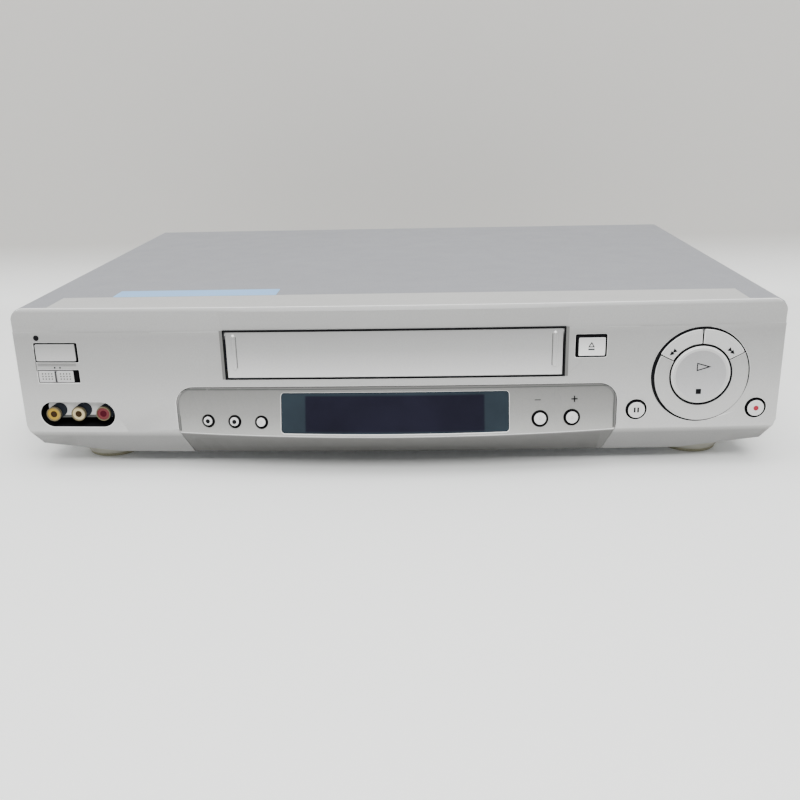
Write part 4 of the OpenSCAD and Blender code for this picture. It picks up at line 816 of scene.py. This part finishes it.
# The faces behind the switch and the dial buttons turn near black: painted shade in their gaps.
dressed("standby_switch", BUTTON_SILVER, 0, in_shade=lambda p: behind_face(p, 0.6))
for node, edge in (("rewind_button", 0.2), ("fast_forward_button", 0.2),
                   ("play_stop_button", 0.3)):
    dressed(node, BUTTON_SILVER, edge, in_shade=behind_segment, worn=EDGE_GLINT)
dressed("top_cover", LID_GREY, 0.25)
dressed("feet", FOOT_GREY, 0.4)
dressed("foot_pads", PAD_CREAM, 0.5)
dressed("rear_panel", REAR_PAINT, 0.15)
dressed("jack_shells", SHELL_GOLD, 0.1)
for colour, material in (("yellow", YELLOW), ("white", WHITE), ("red", RED)):
    dressed("jack_insulator_" + colour, material, 0.15)

# Under their caps the buttons' bodies are near black: painted shade in the gaps round the caps.
plain("power_button eject_button pause_button record_button", GAP_SHADE)
plain("key_1 key_2 key_3 channel_down_button channel_up_button", GAP_SHADE)
plain("power_indicator jack_barrels", BLACK_GLOSS)
plain("rear_jack_block mains_inlet", BLACK_MATT)
plain("cover_screws", SCREW_DARK)
plain("chassis_pan", ZINC)
plain("aerial_sockets rear_jacks", NICKEL)
plain("front_board", DARK_BOARD)
plain("power_board", BROWN_BOARD)
plain("main_board", GREEN_BOARD)
plain("display_tube", TUBE_GLASS)
plain("transformer", WINDING_TAPE)
plain("capacitors", SLEEVE)
plain("heat_sink", ALUMINIUM)
plain("tuner_can deck_plate carriage_frame carriage_slider cassette_holder", STEEL)
plain("pinch_arm tension_arm loading_motor", STEEL)
plain("capstan", GROUND_STEEL)
plain("lower_drum upper_drum", TURNED)
plain("supply_guide takeup_guide tape_heads", NICKEL)
plain("drive_pinion cam_gear motor_gear", ACETAL)
plain("pinch_roller", ROLLER_RUBBER)
plain("supply_reel takeup_reel", REEL_BLACK)

# Button caps and printed marks ------------------------------------------------------------------
LIFT = 0.03
MARK_STAND = CAP_STAND + 0.17
DIAL_X, DIAL_Z = 170, 55.5
DISH_R, DISH_SPHERE, DISH_RINGS, RIM_STAND = 13.9, 205, 6, 1.2
SEGMENTS = (("rewind", -1), ("fast_forward", 1))


def on_dial(stand=0.0):
    return on_face(DIAL_X, DIAL_Z, stand)


def caps():
    """The painted faces of the buttons, with the soft edges that their moulds leave."""
    proud = CAP_STAND - CAP_T
    for node, x, z, w, h, paint in (("power_button", -191.2, 72.2, 23.1, 9.8, POWER_SHADED_SILVER),
                                    ("eject_button", 109.2, 72.9, 14.7, 10.4, EJECT_LIT_SILVER)):
        fitted(node + "_cap", capped(flat_plate(w, h, 0.7), CAP_T, CAP_EDGE),
               on_face(x, z, proud), paint, node)
    for node, x, z, r, place in ROUND_CAPS:
        fitted(node + "_cap", capped(flat_disc(r, 56), CAP_T, CAP_EDGE, CAP_DOME),
               place(x, z, proud), PALE_SILVER, node)
        if node.startswith("channel") or node == "key_3":
            fitted(node + "_dimple", ring(0.75, 0.45, 0.06), place(x, z, CAP_STAND + CAP_DOME),
                   BUTTON_SILVER, node)


def in_dish(bm, x, z):
    """Moves a shape to a place on the hollow of the play and stop disc, and bends it to it."""
    shifted(bm, x, z)
    centre = RIM_STAND + sqrt(DISH_SPHERE ** 2 - DISH_R ** 2)
    for v in bm.verts:
        v.co.y -= centre - sqrt(DISH_SPHERE ** 2 - v.co.x ** 2 - v.co.z ** 2) + LIFT
    return bm


def dial_marks():
    """The hollow face of the play and stop disc, and the symbols of the dial."""
    bm = flat_disc(DISH_R + 0.1, 72)
    for _ in range(DISH_RINGS):
        core = max(bm.faces, key=lambda f: len(f.verts))
        bmesh.ops.inset_region(bm, faces=[core], thickness=2.1, use_boundary=True)
    outward(to_front(bm))
    if max(bm.faces, key=lambda f: f.calc_area()).normal.y > 0:
        bmesh.ops.reverse_faces(bm, faces=bm.faces)
    fitted("play_dish", in_dish(bm, 0, 0), on_dial(), DISH_SILVER, "play_stop_button", angle=60)
    play = arrow(2.8, hollow=0.55, stretch=1.9, t=0.1)
    fitted("play_mark", in_dish(play, 0.2, 4.6), on_dial(LIFT), BLACK_INK, "play_stop_button")
    stop = bar(2.9, 2.9, t=0.1)
    fitted("stop_mark", in_dish(stop, -0.6, -9.6), on_dial(LIFT), BLACK_INK, "play_stop_button")
    for name, side in SEGMENTS:
        bm = None
        for step in (-1.05, 1.05):
            bm = arrow(1.5, x=step, bm=bm, turn=0 if side > 0 else pi, stretch=1.1)
        place = on_face(DIAL_X + side * 15.9, DIAL_Z + 13.2, 0.3 + LIFT)
        fitted(name + "_mark", bm, place @ Matrix.Rotation(side * 0.75, 4, "Y"), BLACK_INK,
               name + "_button")


def button_marks():
    """The symbols on the buttons, and the plus and minus over the channel buttons."""
    fitted("pause_mark", bar(0.95, 2.9, x=-0.95, bm=bar(0.95, 2.9, x=0.95)),
           on_face(135.6, 35.7, MARK_STAND), BLACK_INK, "pause_button")
    fitted("record_mark", disc(1.45), on_face(202.6, 35.3, MARK_STAND), RED_INK, "record_button")
    fitted("eject_mark", arrow(2.1, turn=-pi / 2, hollow=0.5, z=0.4, bm=bar(3.5, 0.75, z=-1.8)),
           on_face(108.9, 73.2, CAP_STAND), BLACK_INK, "eject_button")
    for node, x in (("key_1", -106.6), ("key_2", -91.1)):
        fitted(node + "_mark", disc(1.25), on_panel(x, 32, MARK_STAND), BLACK_INK, node)
    case_piece("minus_mark", set_on(bar(3.4, 0.6), on_panel(80.2, 42.8, LIFT)), GREY_INK,
               "control_panel")
    case_piece("plus_mark", set_on(bar(3.6, 0.6, bm=bar(0.6, 3.6)), on_panel(100.8, 42.8, LIFT)),
               BLACK_INK, "control_panel")


# Lines, gaps and small fittings of the front ----------------------------------------------------
GROOVE_R = 27.3
SEAM_TURN = radians(27)
PANEL_CORNER = 10
SLOT_W, SLOT_H, SLOT_MID = 189.9, 28.5, 70.2
DOOR_W, DOOR_H, DOOR_MID = 186.8, 26.75, 70.42
RIB_X, RIB_Z, RIB_DOT_Z = 89, 71.6, 81.4
SWITCH_X, SWITCH_Z = -192.8, 58.1
JACK_X, JACK_Z, JACK_PITCH = -183.3, 35.1, 14.5
STRIP_W, STRIP_D, STRIP_T = 96.5, 17, 0.1


def groove_width(way):
    """The width of the black band in the dial's groove in one direction, as measured in the
    photograph: wide at the left, and running out at the lower right. The band is painted shade."""
    width = max(0.06, 0.85 - 0.75 * way.x + 0.3 * min(0, way.y))
    if way.x > 0:
        width = max(width, 0.6 * min(1, 1.2 + 2.4 * way.y))
    if way.y > 0.44:
        width = min(width, 0.72 - 0.5 * way.x + 0.5 * way.y)
    return width


def dial_gaps():
    """Black bands for the groove round the dial and the gap round the play and stop disc: painted
    shade.
    """
    bm = flat_disc(GROOVE_R, 96)
    rim_only(bm, 0.5)
    for v in bm.verts:
        if v.co.length < GROOVE_R - 0.3:
            way = v.co.normalized()
            v.co = way * (GROOVE_R - groove_width(way))
    case_piece("dial_groove", set_on(thick(bm, 0.3), on_dial(-0.08)), GAP_SHADE)
    bm = flat_disc(17.5, 96)
    rim_only(bm, 0.7)
    for v in bm.verts:
        if v.co.length > 17.2:
            v.co += Vector((0.3, -0.4, 0))
    case_piece("play_gap", set_on(thick(bm, 0.05), on_dial(LIFT)), GAP_SHADE)


def dial_segments():
    """The black seams at the lower ends of the two segments, painted shade, and the rims of the
    segments, whose rounded edges carry a painted highlight.
    """
    for name, side in SEGMENTS:
        along = Vector((side * cos(SEAM_TURN), sin(SEAM_TURN), 0))
        inward = Vector((-side * sin(SEAM_TURN), cos(SEAM_TURN), 0))
        middle = along * 21.9 + inward * 0.2
        seam = shifted(bar(8.4, 0.4, 0.05, turn=-side * SEAM_TURN), middle.x, middle.y)
        case_piece(name + "_seam", set_on(seam, on_dial(LIFT)), GAP_SHADE)
        bm = flat_disc(26.4, 120)
        rim_only(bm, 2.0)
        bmesh.ops.translate(bm, vec=(0.5, -0.5, 0), verts=bm.verts)
        cut(bm, inward * 0.7, inward, clear_inner=True)
        cut(bm, (side * 0.7, 0, 0), (side, 0, 0), clear_inner=True)
        fitted(name + "_rim", thick(bm, 0.4), on_dial(0.12), BUTTON_SILVER, name + "_button",
               edge=0.3, worn=EDGE_GLINT)


def panel_reveal():
    """The shadowed step round the top and sides of the centre panel."""
    ground = felt(panel, panel_y)
    for name, grow, width, stand, material in (("panel_reveal", 0, 1.3, 0.06, REVEAL_SHADE),
                                               ("panel_gap", -1.1, 0.5, 0.1, STEP_SHADE)):
        bm = flat_plate(2 * (PANEL_HW + grow), 2 * (PANEL_TOP + grow - RIDGE_Z),
                        PANEL_CORNER + grow)
        rim_only(bm, width)
        cut(bm, (0, 1, 0), (0, -1, 0), clear_outer=True)
        line = shifted(thick(sliced(bm, PANEL_HW), 0.06), 0, RIDGE_Z)
        case_piece(name, draped(line, ground, stand), material, "control_panel")


def door_fittings():
    """Grey bars on the leaning sides of the cassette opening and a black frame round it, both
    painted shade, and the front skin of the door with its ribs.
    """
    for name, side in (("door_reveal_left", -1), ("door_reveal_right", 1)):
        case_piece(name, draped(bar(1.7, 28.2, 0.1, x=side * 95.8, z=70.25), bowed, 0.04),
                   REVEAL_SHADE)
    bm = flat_plate(SLOT_W, SLOT_H, 2)
    rim_only(bm, 1.05)
    line = shifted(thick(sliced(bm, 96), 0.06), 0, SLOT_MID)
    case_piece("door_gap", draped(line, bowed, 0.06), GAP_SHADE)
    skin = sliced(capped(flat_plate(DOOR_W, DOOR_H, 0.9), 0.6, 0.35), 93)
    fitted("door_skin", draped(shifted(skin, 0, DOOR_MID), bowed, -0.7), Matrix(), DOOR_SILVER,
           "tape_door")
    for name, side in (("left", -1), ("right", 1)):
        x = side * RIB_X
        rib = capped(flat_plate(2.2, 20, 1.05), 0.5, 0.4)
        fitted("rib_" + name, rib, on_face(x, RIB_Z, -0.15), DOOR_SILVER, "tape_door")
        # A dark bar beside each rib: painted shade.
        fitted("rib_groove_" + name, bar(0.42, 18, 0.05),
               on_face(x - side * 1.4, RIB_Z, -0.06), STEP_SHADE, "tape_door")
        dot = bmesh.new()
        bmesh.ops.create_uvsphere(dot, u_segments=20, v_segments=12, radius=0.8)
        fitted("rib_dot_" + name, dot, Matrix.Translation((x, face_y(x) - 0.1, RIB_DOT_Z)),
               POLISHED, "tape_door", angle=60)


def switch_marks():
    """Grip dots and the dark ridge of the standby switch, the printed lines and dots round it, and
    the lens of the power indicator."""
    bm = None
    for side in (-1, 1):
        for i in range(4):
            for j in (-1, 0, 1):
                dot = disc(0.42, 0.12, 10)
                bm = joined(bm, shifted(dot, side * (2.6 + i * 1.8), j * 1.55))
    fitted("grip_dots", bm, on_face(SWITCH_X, SWITCH_Z, -0.18), GREY_INK, "standby_switch")
    fitted("grip_ridge", bar(1.1, 6.3, 0.8), on_face(SWITCH_X, SWITCH_Z, 0.2), BLACK_MATT,
           "standby_switch", edge=0.15)
    lines = bar(0.35, 12.5, 0.05, x=-12.6, z=-4.4)
    bar(22.5, 0.4, 0.05, x=-0.4, z=-6.6, bm=lines)
    bar(22.5, 0.3, 0.05, x=-0.4, z=-7.6, bm=lines)
    case_piece("power_lines", set_on(lines, on_face(-191.1, 72.1, LIFT)), GREY_INK)
    dots = joined(disc(0.5, 0.05, 20), shifted(disc(0.5, 0.05, 20), 3.1, 0))
    case_piece("index_dots", set_on(dots, on_face(-193.0, 63.3, LIFT)), BLACK_INK)
    case_piece("indicator_lens", set_on(disc(1.6, 0.05), on_face(-201.4, 80.7, 0.1)), BLACK_INK,
               "power_indicator")


def jack_fittings():
    """Silver webs, dark scoops, a dark bar along the lip and dark discs over the bores of the jack
    pocket; the bar and the discs are painted shade.
    """
    def in_pocket(bm, x, depth, z):
        return set_on(bm, Matrix.Translation((x, face_y(JACK_X) + depth, z)))

    web = thick(flat_plate(37.5, 7.6, 1.5), 0.3)
    case_piece("jack_web", in_pocket(web, JACK_X + 1.2, 3.1, JACK_Z + 2.8), SILVER)
    # A dark bar along the bottom of the pocket: painted shade under its lip.
    case_piece("jack_lip", in_pocket(bar(38, 1.4, 0.3), JACK_X, 3.6, JACK_Z - 2), STEP_SHADE)
    for i, (colour, bore) in enumerate((("yellow", BORE_SHADE), ("white", BORE_SHADE),
                                        ("red", RED_BORE_SHADE))):
        x = JACK_X + (i - 1) * JACK_PITCH
        scoop = flat_plate(12.6, 8.4, 4.19)
        bmesh.ops.rotate(scoop, verts=scoop.verts, matrix=Matrix.Rotation(radians(34), 3, "Z"))
        case_piece("jack_scoop_" + colour,
                   in_pocket(thick(scoop, 0.1), x + 1.7, 2.85, JACK_Z + 1.2), NAVY)
        node = "jack_insulator_" + colour
        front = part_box(node)[0].y / MM
        # A dark disc over the mouth of each bore: painted shade in the hole.
        case_piece("jack_bore_" + colour,
                   set_on(disc(1.9, 0.1), Matrix.Translation((x, front - 0.04, JACK_Z))),
                   bore, node)


def blue_strip():
    """The plain blue film that is stuck on the lid."""
    bm = flat_plate(STRIP_W, STRIP_D, 1.0)
    raised(bm, STRIP_T)
    outward(bm)
    place = Matrix.Translation((-117.7, FRONT_Y + 38.5, TOP_Z + 0.02))
    case_piece("blue_strip", set_on(bm, place), BLUE_FILM, "top_cover")


caps()
dial_marks()
button_marks()
dial_gaps()
dial_segments()
panel_reveal()
door_fittings()
switch_marks()
jack_fittings()
blue_strip()
